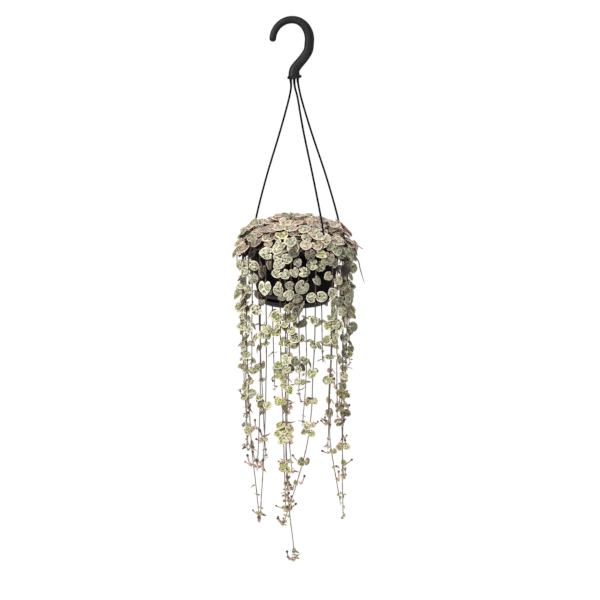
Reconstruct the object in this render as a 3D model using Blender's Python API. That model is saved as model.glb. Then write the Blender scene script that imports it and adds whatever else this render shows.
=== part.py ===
"""A string of hearts in a hanging pot: hook, strands, pot, saucer, soil, crown shoots and trailing vines.

Metres, +Z up. The origin is the inside of the hook's crown, where the pot hangs from, straight above the pot's axis.
-Y is the front. Each object is one solid; pieces that touch keep a clearance of GAP.
"""

import math
import random
from dataclasses import dataclass

import bpy
from mathutils import Matrix, Vector
from mathutils.bvhtree import BVHTree

GAP = 0.0003

# Hook: a band bent round an arc, then a limb that slants down to the collar.
ARC_OFFSET_X = -0.0029
ARC_RADIUS = 0.0233
ARC_TIGHTENING = 0.0030
BAND_HALF_WIDTH = 0.0043
TIP_HALF_WIDTH = 0.0039
LIMB_HALF_WIDTH = 0.0055
BAND_HALF_DEPTH = 0.0034
LIMB_HALF_DEPTH = 0.0044
ARC_CENTRE_Z = -math.sqrt((ARC_RADIUS - BAND_HALF_WIDTH) ** 2 - ARC_OFFSET_X**2)
TIP_ANGLE = 176
LIMB_POINTS = ((0.0164, -0.0290), (0.0142, -0.0345), (0.0092, -0.0415), (0.0044, -0.0470), (0.0005, -0.0520),
               (-0.0009, -0.0560), (-0.0009, -0.0620))
FOOT_FLARE = 0.0014
FOOT_FLARE_FROM_Z = -0.0450
COLLAR_X = -0.0008
COLLAR_RADIUS = 0.0087
COLLAR_TOP_Z = -0.0602
COLLAR_HEIGHT = 0.0038
COLLAR_TILT = 7
SOCKET_DEPTH = 0.0026
SOCKET_CIRCLE = 0.0048

# Strands: (azimuth at the collar, azimuth at the rim) in degrees from +X, and one shape for all three.
STRAND_AZIMUTHS = {"strand_left": (150, 154), "strand_front": (270, 308), "strand_right": (30, 9)}
STRAND_RADIUS = 0.0012
STRAND_SPREAD = ((0.0053, -0.074), (0.0078, -0.087), (0.0150, -0.111), (0.0228, -0.135), (0.0393, -0.1836),
                 (0.0532, -0.232), (0.0568, -0.2555))
BUTTON_RADIUS = 0.0023
BUTTON_HEIGHT = 0.0018

# Pot: radii against depth below the rim.
RIM_Z = -0.265
RIM_RADIUS = 0.060
RIM_THICKNESS = 0.0018
WALL = 0.0012
POT_OUTER = ((0.0556, 0.0022), (0.0544, 0.0120), (0.0486, 0.0500), (0.0473, 0.0555), (0.0446, 0.0602),
             (0.0410, 0.0640), (0.0382, 0.0665), (0.0362, 0.0682))
DRAIN_CIRCLE = 0.020
DRAIN_RADIUS = 0.0019
DRAIN_COUNT = 6
DRAIN_FIRST_AZIMUTH = 26
EAR_CIRCLE = 0.0582
EAR_RADIUS = 0.0034
EAR_THICKNESS = 0.0026
TURNED_SIDES = 40

# Saucer: hangs under the pot on a stud that snaps through the floor.
SAUCER_RADIUS = 0.0438
SAUCER_RIM_DEPTH = 0.0640
SAUCER_FOOT_RADIUS = 0.0392
SAUCER_BOTTOM_DEPTH = 0.0718
STUD_RADIUS = 0.0045
STUD_HEAD_RADIUS = 0.0062
STUD_HEAD_HEIGHT = 0.0022

# Soil: fills the pot to just below the rim.
SOIL_TOP = ((0.0, -0.0010), (0.025, -0.0003), (0.045, 0.0018))
SOIL_EDGE_DEPTH = 0.0035

# Foliage.
STEM_RADIUS = 0.0010
STEM_TIP_RADIUS = 0.0007
STEM_SIDES = 4
HANG_RADIUS = 0.0650
MOUND_HEIGHT = 0.0270
MOUND_RADIUS = 0.0780
LEAF_WIDTH = 0.0155
FIRST_PAIR = 0.013
SHOOT_SPACING = 0.015
TRAIL_SPACING = 0.032
PAIR_STRETCH = 5.0
SMALLEST_LEAF = 0.0062
LEAF_LIFT = (0.1, 0.9)
LEAF_SEED = 20


@dataclass(frozen=True)
class Trail:
    """A vine that hangs over the rim: where it crosses, how low it ends, and how far it sways on the way."""

    azimuth: float
    tip_z: float
    sway_x: tuple
    sway_y: float = 0.0


@dataclass(frozen=True)
class Shoot:
    """A short shoot of the crown: where it roots, how far out it creeps, and how far it drops past the rim."""

    azimuth: float
    root_radius: float
    end_radius: float
    drop: float = 0.0


TRAILS = (
    Trail(197, -0.524, (0.001, 0.001, 0.002)),
    Trail(203, -0.619, (0.001, 0.005, 0.015)),
    Trail(230, -0.541, (0.0, -0.001, -0.005)),
    Trail(238, -0.600, (0.0, -0.003, -0.009), -0.003),
    Trail(254, -0.590, (0.001, 0.004, 0.006), 0.004),
    Trail(260, -0.560, (0.0, 0.0, 0.002), 0.008),
    Trail(266, -0.652, (-0.003, -0.006, 0.004), 0.002),
    Trail(274, -0.440, (0.0, 0.001, 0.0), 0.002),
    Trail(292.5, -0.604, (-0.002, -0.010, -0.040), -0.012),
    Trail(313.5, -0.585, (-0.001, -0.003, 0.012), -0.002),
    Trail(321.5, -0.480, (0.0, 0.0, 0.001)),
    Trail(335, -0.560, (0.0, -0.001, 0.002)),
    Trail(349, -0.617, (0.0, -0.004, -0.003)),
    Trail(6, -0.420, (0.001, 0.003, 0.004)),
    Trail(25, -0.455, (0.001, 0.002, 0.002)),
    Trail(42, -0.545, (0.0, -0.003, -0.006)),
    Trail(60, -0.430, (0.001, 0.002, 0.003)),
    Trail(79, -0.520, (0.001, 0.002, -0.003)),
    Trail(98, -0.585, (-0.001, -0.003, 0.005), -0.004),
    Trail(117, -0.470, (0.0, 0.001, 0.003)),
    Trail(136, -0.560, (0.001, 0.004, 0.008)),
    Trail(147, -0.440, (0.0, -0.001, -0.002)),
    Trail(177, -0.490, (-0.001, 0.0, 0.003)),
)
SHOOTS = (
    Shoot(20, 0.008, 0.040),
    Shoot(95, 0.013, 0.044),
    Shoot(165, 0.009, 0.041),
    Shoot(238, 0.012, 0.043),
    Shoot(310, 0.012, 0.040),
    Shoot(355, 0.026, 0.071, 0.016),
    Shoot(35, 0.030, 0.069, 0.030),
    Shoot(69, 0.027, 0.070, 0.022),
    Shoot(107, 0.031, 0.069, 0.034),
    Shoot(142, 0.027, 0.070, 0.018),
    Shoot(184, 0.029, 0.071, 0.026),
    Shoot(216, 0.027, 0.069, 0.030),
    Shoot(246, 0.032, 0.068, 0.026),
    Shoot(283, 0.031, 0.069, 0.034),
    Shoot(300, 0.024, 0.070, 0.018),
    Shoot(329, 0.031, 0.070, 0.028),
)


# ---- shared helpers -------------------------------------------------------------------------------------------


def clear_scene():
    """Remove every object that the scene starts with."""
    for obj in list(bpy.data.objects):
        bpy.data.objects.remove(obj)


def material(name, colour, roughness):
    """Return a plain Principled material."""
    made = bpy.data.materials.new(name)
    made.use_nodes = True
    shader = made.node_tree.nodes["Principled BSDF"]
    shader.inputs["Base Color"].default_value = (*colour, 1.0)
    shader.inputs["Roughness"].default_value = roughness
    shader.inputs["Metallic"].default_value = 0.0
    return made


def add_object(name, vertices, faces, finish=None, smooth_angle=40):
    """Put a mesh in the scene, shaded smooth up to an angle in degrees, and return its object."""
    mesh = bpy.data.meshes.new(name)
    mesh.from_pydata([tuple(v) for v in vertices], [], faces)
    mesh.update()
    mesh.shade_smooth()
    mesh.set_sharp_from_angle(angle=math.radians(smooth_angle))
    if finish:
        mesh.materials.append(finish)
    obj = bpy.data.objects.new(name, mesh)
    bpy.context.scene.collection.objects.link(obj)
    return obj


def as_helper(obj):
    """Keep a cutter or a joined shape out of the finished part."""
    obj.hide_render = True
    obj.display_type = "WIRE"
    return obj


def add_boolean(obj, other, operation):
    """Join another object to this one, or cut it away."""
    modifier = obj.modifiers.new(f"{operation.lower()}_{other.name}", "BOOLEAN")
    modifier.operation = operation
    modifier.object = other


def cylinder(name, radius, top, bottom, x=0.0, y=0.0, sides=16):
    """Return an upright cylinder, made as a helper."""
    ring = [(radius * math.cos(a), radius * math.sin(a)) for a in (math.tau * k / sides for k in range(sides))]
    vertices = [(x + u, y + v, bottom) for u, v in ring] + [(x + u, y + v, top) for u, v in ring]
    faces = [tuple(range(sides - 1, -1, -1)), tuple(range(sides, 2 * sides))]
    faces += [(k, (k + 1) % sides, sides + (k + 1) % sides, sides + k) for k in range(sides)]
    return as_helper(add_object(name, vertices, faces))


def turned(name, profile, finish, closed):
    """Turn a profile of (radius, depth below the rim) about the pot's axis. It runs down the outer side."""
    points = [(radius, 0.0, RIM_Z - depth) for radius, depth in profile]
    mesh = bpy.data.meshes.new(name)
    edges = [(k, k + 1) for k in range(len(points) - 1)]
    if closed:
        edges.append((len(points) - 1, 0))
    mesh.from_pydata(points, edges, [])
    mesh.materials.append(finish)
    obj = bpy.data.objects.new(name, mesh)
    bpy.context.scene.collection.objects.link(obj)
    screw = obj.modifiers.new("turn", "SCREW")
    screw.steps = TURNED_SIDES
    screw.render_steps = TURNED_SIDES
    screw.use_merge_vertices = True
    screw.merge_threshold = 0.00001
    screw.use_smooth_shade = True
    return obj


def on_circle(azimuth, radius, z=0.0):
    """Return the point at an azimuth in degrees and a radius from the pot's axis."""
    angle = math.radians(azimuth)
    return Vector((radius * math.cos(angle), radius * math.sin(angle), z))


def smooth_path(points, spacing):
    """Return points about a spacing apart on the Catmull-Rom curve through the given ones."""
    padded = [2 * points[0] - points[1], *points, 2 * points[-1] - points[-2]]
    path = [points[0]]
    for a, b, c, d in zip(padded, padded[1:], padded[2:], padded[3:]):
        steps = max(1, round((c - b).length / spacing))
        for k in range(1, steps + 1):
            t = k / steps
            path.append(0.5 * (2 * b + (c - a) * t + (2 * a - 5 * b + 4 * c - d) * t**2
                               + (3 * b - a - 3 * c + d) * t**3))
    return path


def tangents(path):
    """Return the unit direction of a path at each of its points."""
    ends = [path[0], *path, path[-1]]
    return [(after - before).normalized() for before, after in zip(ends, ends[2:])]


def tube(path, radii, sides):
    """Return the vertices and faces of a tube with closed ends along a path."""
    vertices, faces = [], []
    directions = tangents(path)
    across = directions[0].orthogonal().normalized()
    for centre, direction, radius in zip(path, directions, radii):
        across = (across - direction * across.dot(direction)).normalized()
        other = direction.cross(across)
        for k in range(sides):
            angle = math.tau * k / sides
            vertices.append(centre + radius * (math.cos(angle) * across + math.sin(angle) * other))
    for row in range(len(path) - 1):
        for k in range(sides):
            a, b = row * sides + k, row * sides + (k + 1) % sides
            faces.append((a, b, b + sides, a + sides))
    faces.append(tuple(range(sides - 1, -1, -1)))
    last = (len(path) - 1) * sides
    faces.append(tuple(range(last, last + sides)))
    return vertices, faces


# ---- hanger ---------------------------------------------------------------------------------------------------


def hook_stations():
    """Return the hook's band as (centre, half width, half depth), from its round tip to the collar."""
    stations = []
    for angle in range(TIP_ANGLE, -1, -11):
        a = math.radians(angle)
        turn = math.cos(a) if angle < 90 else 0.0
        radius = ARC_RADIUS - ARC_TIGHTENING * turn**2
        centre = Vector((ARC_OFFSET_X + radius * math.cos(a), 0.0, ARC_CENTRE_Z + radius * math.sin(a)))
        thin = max(0.0, -math.cos(a))
        width = BAND_HALF_WIDTH + (LIMB_HALF_WIDTH - BAND_HALF_WIDTH) * turn**1.5
        width -= (BAND_HALF_WIDTH - TIP_HALF_WIDTH) * thin
        depth = BAND_HALF_DEPTH + (LIMB_HALF_DEPTH - BAND_HALF_DEPTH) * turn
        stations.append((centre, width, depth))
    limb = [stations[-1][0]] + [Vector((x, 0.0, z)) for x, z in LIMB_POINTS]
    for centre in smooth_path(limb, 0.0045)[1:]:
        share = (FOOT_FLARE_FROM_Z - centre.z) / (FOOT_FLARE_FROM_Z - LIMB_POINTS[-1][1])
        flare = FOOT_FLARE * max(0.0, share) ** 1.5
        stations.append((centre, LIMB_HALF_WIDTH + flare, LIMB_HALF_DEPTH + flare / 2))
    return round_tip(stations) + stations


def round_tip(stations):
    """Return the shrinking stations that close the free end of the band in a dome."""
    centre, width, depth = stations[0]
    outward = (centre - stations[1][0]).normalized()
    dome = []
    for angle in (80, 55, 28):
        a = math.radians(angle)
        dome.append((centre + outward * width * math.sin(a), width * math.cos(a), depth * math.cos(a)))
    return dome


def band(stations, sides=14, squareness=0.72):
    """Return the vertices and faces of a band in the XZ plane with a section between an oval and a rectangle."""
    vertices, faces = [], []
    directions = tangents([centre for centre, _, _ in stations])
    for (centre, width, depth), direction in zip(stations, directions):
        across = Vector((0.0, 1.0, 0.0)).cross(direction)
        for k in range(sides):
            c, s = math.cos(math.tau * k / sides), math.sin(math.tau * k / sides)
            u = math.copysign(abs(c) ** squareness, c) * width
            v = math.copysign(abs(s) ** squareness, s) * depth
            vertices.append(centre + across * u + Vector((0.0, v, 0.0)))
    for row in range(len(stations) - 1):
        for k in range(sides):
            a, b = row * sides + k, row * sides + (k + 1) % sides
            faces.append((a, a + sides, b + sides, b))
    faces.append(tuple(range(sides)))
    last = (len(stations) - 1) * sides
    faces.append(tuple(range(last + sides - 1, last - 1, -1)))
    return vertices, faces


def collar():
    """Return the collar at the foot of the hook: a short, slightly tilted disc with rounded edges."""
    profile = ((0.0, 0.0), (0.72, 0.0), (0.93, 0.14), (1.0, 0.40), (1.0, 0.66), (0.92, 0.90), (0.76, 1.0), (0.0, 1.0))
    rings = [(COLLAR_RADIUS * r, -COLLAR_HEIGHT * depth) for r, depth in profile]
    sides = 20
    vertices, faces = [Vector((0.0, 0.0, rings[0][1]))], []
    for radius, z in rings[1:-1]:
        for k in range(sides):
            angle = math.tau * k / sides
            vertices.append(Vector((radius * math.cos(angle), radius * math.sin(angle), z)))
    vertices.append(Vector((0.0, 0.0, rings[-1][1])))
    bottom = len(vertices) - 1
    for k in range(sides):
        after = (k + 1) % sides
        faces.append((0, 1 + k, 1 + after))
        for row in range(len(rings) - 3):
            a, b = 1 + row * sides + k, 1 + row * sides + after
            faces.append((a, a + sides, b + sides, b))
        last = 1 + (len(rings) - 3) * sides
        faces.append((last + k, bottom, last + after))
    tilt = Matrix.Rotation(math.radians(-COLLAR_TILT), 4, "Y")
    place = Matrix.Translation((COLLAR_X, 0.0, COLLAR_TOP_Z)) @ tilt
    return [place @ v for v in vertices], faces


def socket_point(azimuth):
    """Return where a strand leaves the collar's underside."""
    point = on_circle(azimuth, SOCKET_CIRCLE)
    point.z = COLLAR_TOP_Z - COLLAR_HEIGHT + point.x * math.tan(math.radians(COLLAR_TILT))
    point.x += COLLAR_X
    return point


def make_hook(finish):
    """The question-mark hook with its collar, which holds a socket for each strand."""
    hook = add_object("hook", *band(hook_stations()), finish)
    add_boolean(hook, as_helper(add_object("collar_shape", *collar())), "UNION")
    for name, (azimuth, _) in STRAND_AZIMUTHS.items():
        point = socket_point(azimuth)
        cutter = cylinder(f"{name}_socket", STRAND_RADIUS + GAP, point.z + SOCKET_DEPTH, point.z - 0.004,
                          point.x, point.y, sides=12)
        add_boolean(hook, cutter, "DIFFERENCE")


def strand_path(collar_azimuth, rim_azimuth):
    """Return a strand's line from inside the collar's socket to the rim's ear, along the shared spread."""
    start = socket_point(collar_azimuth)
    points = [start + Vector((0.0, 0.0, SOCKET_DEPTH - GAP)), start + Vector((0.0, 0.0, -0.003))]
    first, last = STRAND_SPREAD[0][1], STRAND_SPREAD[-1][1]
    for radius, z in STRAND_SPREAD:
        turned_share = ((first - z) / (first - last)) ** 0.15
        azimuth = collar_azimuth + (rim_azimuth - collar_azimuth) * turned_share
        points.append(on_circle(azimuth, radius, z))
    ear_top = RIM_Z + (EAR_THICKNESS - RIM_THICKNESS) / 2
    points.append(on_circle(rim_azimuth, EAR_CIRCLE, ear_top + 0.0012))
    points.append(on_circle(rim_azimuth, EAR_CIRCLE, ear_top - EAR_THICKNESS - GAP))
    return points


def make_strand(name, collar_azimuth, rim_azimuth, finish):
    """A thin strand that ends below its ear in a button."""
    points = strand_path(collar_azimuth, rim_azimuth)
    path = smooth_path(points[:-1], 0.012) + [points[-1]]
    radii = [STRAND_RADIUS] * len(path)
    down = Vector((0.0, 0.0, -1.0))
    for depth, radius in ((0.0001, 0.85), (0.25, 1.0), (0.75, 1.0), (1.0, 0.8)):
        path.append(points[-1] + down * BUTTON_HEIGHT * depth)
        radii.append(BUTTON_RADIUS * radius)
    return add_object(name, *tube(path, radii, 8), finish)


# ---- pot, saucer and soil -------------------------------------------------------------------------------------


def pot_inner():
    """Return the inner side of the pot's wall from the rim down to the floor."""
    inner = [(radius - WALL, depth - 0.4 * WALL) for radius, depth in POT_OUTER[:-1]]
    foot_radius, foot_depth = POT_OUTER[-1]
    return [(inner[0][0], 0.0004), *inner[1:], (foot_radius - WALL, foot_depth - WALL)]


def make_pot(finish):
    """The turned pot: flat lip, tapering wall, rounded foot, drain holes, and an ear for each strand."""
    hole = STUD_RADIUS + GAP
    floor_depth = POT_OUTER[-1][1]
    lip = [(RIM_RADIUS - 0.0005, 0.0), (RIM_RADIUS, 0.0005), (RIM_RADIUS, RIM_THICKNESS)]
    outer = [*lip, *POT_OUTER, (hole, floor_depth)]
    inner = [(hole, floor_depth - WALL), *reversed(pot_inner())]
    pot = turned("pot", [*outer, *inner, (inner[-1][0] + 0.0004, 0.0)], finish, closed=True)
    for name, (_, azimuth) in STRAND_AZIMUTHS.items():
        place = on_circle(azimuth, EAR_CIRCLE)
        top = RIM_Z + (EAR_THICKNESS - RIM_THICKNESS) / 2
        ear = cylinder(f"{name}_ear", EAR_RADIUS, top, top - EAR_THICKNESS, place.x, place.y, sides=16)
        hole_cutter = cylinder(f"{name}_ear_hole", STRAND_RADIUS + GAP, top + 0.002, top - EAR_THICKNESS - 0.002,
                               place.x, place.y, sides=12)
        add_boolean(pot, ear, "UNION")
        add_boolean(pot, hole_cutter, "DIFFERENCE")
    for k in range(DRAIN_COUNT):
        place = on_circle(DRAIN_FIRST_AZIMUTH + 360 * k / DRAIN_COUNT, DRAIN_CIRCLE)
        floor_z = RIM_Z - floor_depth
        drain = cylinder(f"drain_{k + 1}", DRAIN_RADIUS, floor_z + 0.003, floor_z - 0.002, place.x, place.y, sides=8)
        add_boolean(pot, drain, "DIFFERENCE")


def make_saucer(finish):
    """The drip saucer, with the stud whose head snaps in above the pot's floor."""
    floor_top = POT_OUTER[-1][1] - WALL
    head_bottom = floor_top - GAP
    head_top = head_bottom - STUD_HEAD_HEIGHT
    tray_floor = SAUCER_BOTTOM_DEPTH - WALL
    profile = [
        (0.0, head_top),
        (STUD_HEAD_RADIUS * 0.7, head_top),
        (STUD_HEAD_RADIUS, head_bottom - STUD_HEAD_HEIGHT * 0.3),
        (STUD_HEAD_RADIUS, head_bottom),
        (STUD_RADIUS, head_bottom),
        (STUD_RADIUS, tray_floor),
        (SAUCER_FOOT_RADIUS - WALL, tray_floor),
        (SAUCER_RADIUS - 0.0030, SAUCER_RIM_DEPTH + 0.0035),
        (SAUCER_RADIUS - 0.0019, SAUCER_RIM_DEPTH + 0.0012),
        (SAUCER_RADIUS - 0.0015, SAUCER_RIM_DEPTH),
        (SAUCER_RADIUS - 0.0004, SAUCER_RIM_DEPTH),
        (SAUCER_RADIUS, SAUCER_RIM_DEPTH + 0.0005),
        (SAUCER_RADIUS - 0.0004, SAUCER_RIM_DEPTH + 0.0018),
        (SAUCER_RADIUS - 0.0018, SAUCER_RIM_DEPTH + 0.0048),
        (SAUCER_FOOT_RADIUS, SAUCER_BOTTOM_DEPTH),
        (0.0, SAUCER_BOTTOM_DEPTH),
    ]
    turned("saucer", profile, finish, closed=False)


def make_soil(finish):
    """The potting mix, a gap away from the wall, the floor and the stud's head."""
    wall_side = [(radius - GAP, depth) for radius, depth in pot_inner()[1:-1]]
    top_edge = (POT_OUTER[0][0] - WALL - 2 * GAP, SOIL_EDGE_DEPTH)
    floor_radius, floor_depth = pot_inner()[-1]
    bottom = floor_depth - GAP
    recess = STUD_HEAD_RADIUS + GAP
    recess_top = floor_depth - GAP - STUD_HEAD_HEIGHT - GAP
    profile = [*SOIL_TOP, top_edge, *wall_side, (floor_radius - 2 * GAP, bottom), (recess, bottom),
               (recess, recess_top), (0.0, recess_top)]
    turned("soil", profile, finish, closed=False)


# ---- foliage --------------------------------------------------------------------------------------------------


def soil_z(radius):
    """Return the height of the soil's surface at a radius."""
    edge = (POT_OUTER[0][0] - WALL, SOIL_EDGE_DEPTH)
    profile = [*SOIL_TOP, edge]
    for (r0, d0), (r1, d1) in zip(profile, profile[1:]):
        if radius <= r1:
            return RIM_Z - (d0 + (d1 - d0) * (radius - r0) / (r1 - r0))
    return RIM_Z - SOIL_EDGE_DEPTH


def mound_z(radius):
    """Return the height of the mound of foliage at a radius."""
    return RIM_Z + MOUND_HEIGHT * (1 - (radius / MOUND_RADIUS) ** 2)


def trail_points(trail):
    """Return the points that a trailing vine runs through, from the soil over the rim to its tip."""
    root = 0.0485
    over_rim = RIM_Z + 0.0065
    points = [
        on_circle(trail.azimuth, root, soil_z(root) + GAP),
        on_circle(trail.azimuth, root + 0.002, over_rim - 0.003),
        on_circle(trail.azimuth, 0.0575, over_rim),
        on_circle(trail.azimuth, HANG_RADIUS - 0.001, RIM_Z - 0.001),
    ]
    hang_z = RIM_Z - 0.020
    points.append(on_circle(trail.azimuth, HANG_RADIUS, hang_z))
    for share, sway in zip((1 / 3, 2 / 3, 1.0), trail.sway_x):
        shift = Vector((sway, trail.sway_y * share**2, (trail.tip_z - hang_z) * share))
        points.append(points[4] + shift)
    return points


def shoot_points(shoot):
    """Return the points that a crown shoot runs through, from the soil up and out over the mound."""
    start, end = shoot.root_radius, shoot.end_radius
    middle = (start + end) / 2
    points = [
        on_circle(shoot.azimuth, start, soil_z(start) + GAP),
        on_circle(shoot.azimuth, start + 0.002, (soil_z(start) + mound_z(start)) / 2 - 0.002),
        on_circle(shoot.azimuth, middle, mound_z(middle) - 0.005),
    ]
    if shoot.drop:
        points.append(on_circle(shoot.azimuth, end - 0.005, mound_z(end) - 0.003))
        points.append(on_circle(shoot.azimuth, end, RIM_Z - shoot.drop * 0.4))
        points.append(on_circle(shoot.azimuth, end, RIM_Z - shoot.drop))
    else:
        points.append(on_circle(shoot.azimuth, end, mound_z(end) - 0.004))
    return points


def outward(point):
    """Return which way foliage faces at a point: up on the mound, out to the side on what hangs."""
    radial = Vector((point.x, point.y, 0.0)).normalized()
    height = min(1.0, max(0.0, (point.z - RIM_Z + 0.020) / MOUND_HEIGHT))
    inner = min(1.0, max(0.0, 1.25 - Vector((point.x, point.y, 0.0)).length / MOUND_RADIUS))
    up = 0.25 + 1.6 * height * inner
    return (radial + Vector((0.0, 0.0, up))).normalized()


def leaf_scale(z):
    """Return the size of a leaf as a share of the largest, which shrinks towards the tips of the vines."""
    steps = ((-0.290, 1.0), (-0.350, 0.84), (-0.420, 0.66), (-0.500, 0.46), (-0.600, 0.26))
    for (z0, s0), (z1, s1) in zip(steps, steps[1:]):
        if z >= z1:
            return s0 + (s1 - s0) * min(1.0, max(0.0, (z0 - z) / (z0 - z1)))
    return steps[-1][1]


def leaf_mesh(root, along, normal, width, thickness):
    """Return a closed heart with its stalk: a ring of points round a raised and a lowered middle."""
    length = 0.86 * width
    stalk = 0.0022 + 0.16 * width
    across = normal.cross(along)
    half = [(stalk, 0.05), (stalk - 0.10 * length, 0.28), (stalk + 0.38 * length, 0.50)]
    ring = [(-0.0003, 0.0)] + half + [(stalk + length, 0.0)] + [(u, -v) for u, v in reversed(half)]
    points = [root + along * u + across * (v * width) for u, v in ring]
    middle = root + along * (stalk + 0.40 * length)
    points += [middle + normal * thickness / 2, middle - normal * thickness / 2]
    count = len(ring)
    faces = [(k, (k + 1) % count, count) for k in range(count)]
    faces += [((k + 1) % count, k, count + 1) for k in range(count)]
    return points, faces


def leaf_frame(path_point, direction, side, roll, tilt, lift):
    """Return the direction a leaf points in and the way it faces, for one side of a stem."""
    face = outward(path_point)
    sideways = direction.cross(face).normalized() * side
    along = (sideways + direction * tilt + face * lift).normalized()
    face = (face - along * face.dot(along)).normalized()
    face = Matrix.Rotation(roll, 3, along) @ face
    return along, face.normalized()


class Space:
    """The room that is taken already, so that leaves are set clear of it."""

    def __init__(self):
        """Start with nothing taken."""
        self.taken = {}

    def add(self, name, vertices, faces):
        """Take the room of a mesh."""
        self.taken.setdefault(name, []).append(BVHTree.FromPolygons(vertices, faces))

    def add_object(self, obj):
        """Take the room of an object as its modifiers leave it."""
        graph = bpy.context.evaluated_depsgraph_get()
        self.taken.setdefault(obj.name, []).append(BVHTree.FromObject(obj, graph))

    def is_free(self, vertices, faces):
        """Say whether a mesh meets nothing that is there."""
        tree = BVHTree.FromPolygons(vertices, faces)
        return not any(tree.overlap(other) for trees in self.taken.values() for other in trees)


def blade_only(points, root, along, start):
    """Return a leaf's points with its stalk's end pulled out of the stem, to test the blade alone."""
    return [root + along * start if index == 0 else point for index, point in enumerate(points)]


def grow_leaves(name, path, spacing, space, rng):
    """Return the leaves of one stem as a single mesh: pairs that grow further apart, set where there is room."""
    vertices, faces = [], []
    directions = tangents(path)
    travelled, next_pair = 0.0, FIRST_PAIR * rng.uniform(0.9, 1.8)
    for index in range(1, len(path) - 1):
        travelled += (path[index] - path[index - 1]).length
        if travelled < next_pair or LEAF_WIDTH * leaf_scale(path[index].z) < SMALLEST_LEAF:
            continue
        next_pair = travelled + spacing * (1 + PAIR_STRETCH * travelled) * rng.uniform(0.8, 1.2)
        for side in (1, -1):
            root = path[index] + directions[index] * 0.0007 * side
            found = place_leaf(root, directions[index], side, space, rng)
            if not found:
                continue
            points, leaf_faces = found
            space.add(name, points, leaf_faces)
            base = len(vertices)
            vertices += points
            faces += [tuple(base + k for k in face) for face in leaf_faces]
    return vertices, faces


def place_leaf(root, direction, side, space, rng):
    """Return a leaf's mesh in the first of several poses and sizes that is free, or None."""
    for attempt in range(14):
        shrink = 1.0 if attempt < 8 else 0.8
        roll = math.radians(rng.uniform(-30, 30))
        tilt = rng.uniform(-0.25, 0.45)
        along, face = leaf_frame(root, direction, side, roll, tilt, rng.uniform(*LEAF_LIFT))
        width = LEAF_WIDTH * leaf_scale(root.z) * shrink * rng.uniform(0.9, 1.05)
        thickness = 0.0006 + 0.07 * width
        points, faces = leaf_mesh(root, along, face, width, thickness)
        swollen, _ = leaf_mesh(root, along, face, width + 2 * GAP, thickness + 2 * GAP)
        if space.is_free(blade_only(swollen, root, along, STEM_RADIUS + 4 * GAP), faces):
            return points, faces
    return None


def stem_radii(path):
    """Return a stem's radius at each point, thinning to its tip."""
    count = len(path) - 1
    return [STEM_RADIUS + (STEM_TIP_RADIUS - STEM_RADIUS) * k / count for k in range(len(path))]


def make_vines(stem_finish, space):
    """Every vine: its stem first, so that leaves keep clear of all stems, then its leaves joined to it."""
    plans = [(f"shoot_{k + 1:02d}", smooth_path(shoot_points(s), 0.010), SHOOT_SPACING) for k, s in enumerate(SHOOTS)]
    plans += [(f"trail_{k + 1:02d}", smooth_path(trail_points(t), 0.019), TRAIL_SPACING) for k, t in enumerate(TRAILS)]
    stems = {}
    for name, path, _ in plans:
        vertices, faces = tube(path, stem_radii(path), STEM_SIDES)
        stems[name] = add_object(name, vertices, faces, stem_finish)
        space.add(name, vertices, faces)
    rng = random.Random(LEAF_SEED)
    for name, path, spacing in plans:
        vertices, faces = grow_leaves(name, path, spacing, space, rng)
        leaves = as_helper(add_object(f"{name}_leaves", vertices, faces))
        add_boolean(stems[name], leaves, "UNION")


def main():
    """Build the whole part."""
    clear_scene()
    hanger_plastic = material("hanger_plastic", (0.030, 0.030, 0.032), 0.55)
    pot_plastic = material("pot_plastic", (0.012, 0.012, 0.014), 0.38)
    potting_mix = material("potting_mix", (0.055, 0.035, 0.022), 0.95)
    foliage = material("foliage", (0.42, 0.47, 0.30), 0.50)

    make_hook(hanger_plastic)
    for name, (collar_azimuth, rim_azimuth) in STRAND_AZIMUTHS.items():
        make_strand(name, collar_azimuth, rim_azimuth, hanger_plastic)
    make_pot(pot_plastic)
    make_saucer(pot_plastic)
    make_soil(potting_mix)

    bpy.context.view_layer.update()
    space = Space()
    for obj in list(bpy.data.objects):
        if not obj.hide_render:
            space.add_object(obj)
    make_vines(foliage, space)


main()
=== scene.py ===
"""The looks of a variegated string of hearts in its hanging pot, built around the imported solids.

Metres, +Z up. The origin is the inside of the hook's crown and -Y is the front. Every piece rides on the body
"root".
"""

import logging
import math
import random
from collections.abc import Sequence
from dataclasses import dataclass, field
from enum import Enum

import bpy
import numpy as np
from mathutils import Matrix, Vector, noise
from mathutils.bvhtree import BVHTree


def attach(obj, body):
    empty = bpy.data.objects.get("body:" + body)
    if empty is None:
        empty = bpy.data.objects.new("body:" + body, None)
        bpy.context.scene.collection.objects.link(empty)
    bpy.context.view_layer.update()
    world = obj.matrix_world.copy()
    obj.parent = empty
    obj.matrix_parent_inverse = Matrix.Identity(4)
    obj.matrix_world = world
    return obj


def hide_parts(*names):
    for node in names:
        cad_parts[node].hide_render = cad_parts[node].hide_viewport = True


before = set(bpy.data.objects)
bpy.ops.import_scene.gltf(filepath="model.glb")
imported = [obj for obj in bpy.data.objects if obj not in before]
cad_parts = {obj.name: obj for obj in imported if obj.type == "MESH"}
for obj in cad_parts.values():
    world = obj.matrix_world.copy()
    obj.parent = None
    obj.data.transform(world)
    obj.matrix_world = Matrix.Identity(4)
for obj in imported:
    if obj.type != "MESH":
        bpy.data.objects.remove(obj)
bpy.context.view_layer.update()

LOG = logging.getLogger("string_of_hearts")
BODY = "root"

Faces = list[tuple[int, ...]]
Socket = bpy.types.NodeSocket
Colour = tuple[float, float, float]

# The room that is kept round a stem's middle line, and on each side of a leaf.
STEM_ROOM = 0.0011
LEAF_ROOM = 0.00015
# How far a leaf's middle is from its stalk's end, as a share of its width.
LEAF_MIDDLE = 0.22
LEAF_SHEEN = 0.35
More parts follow.
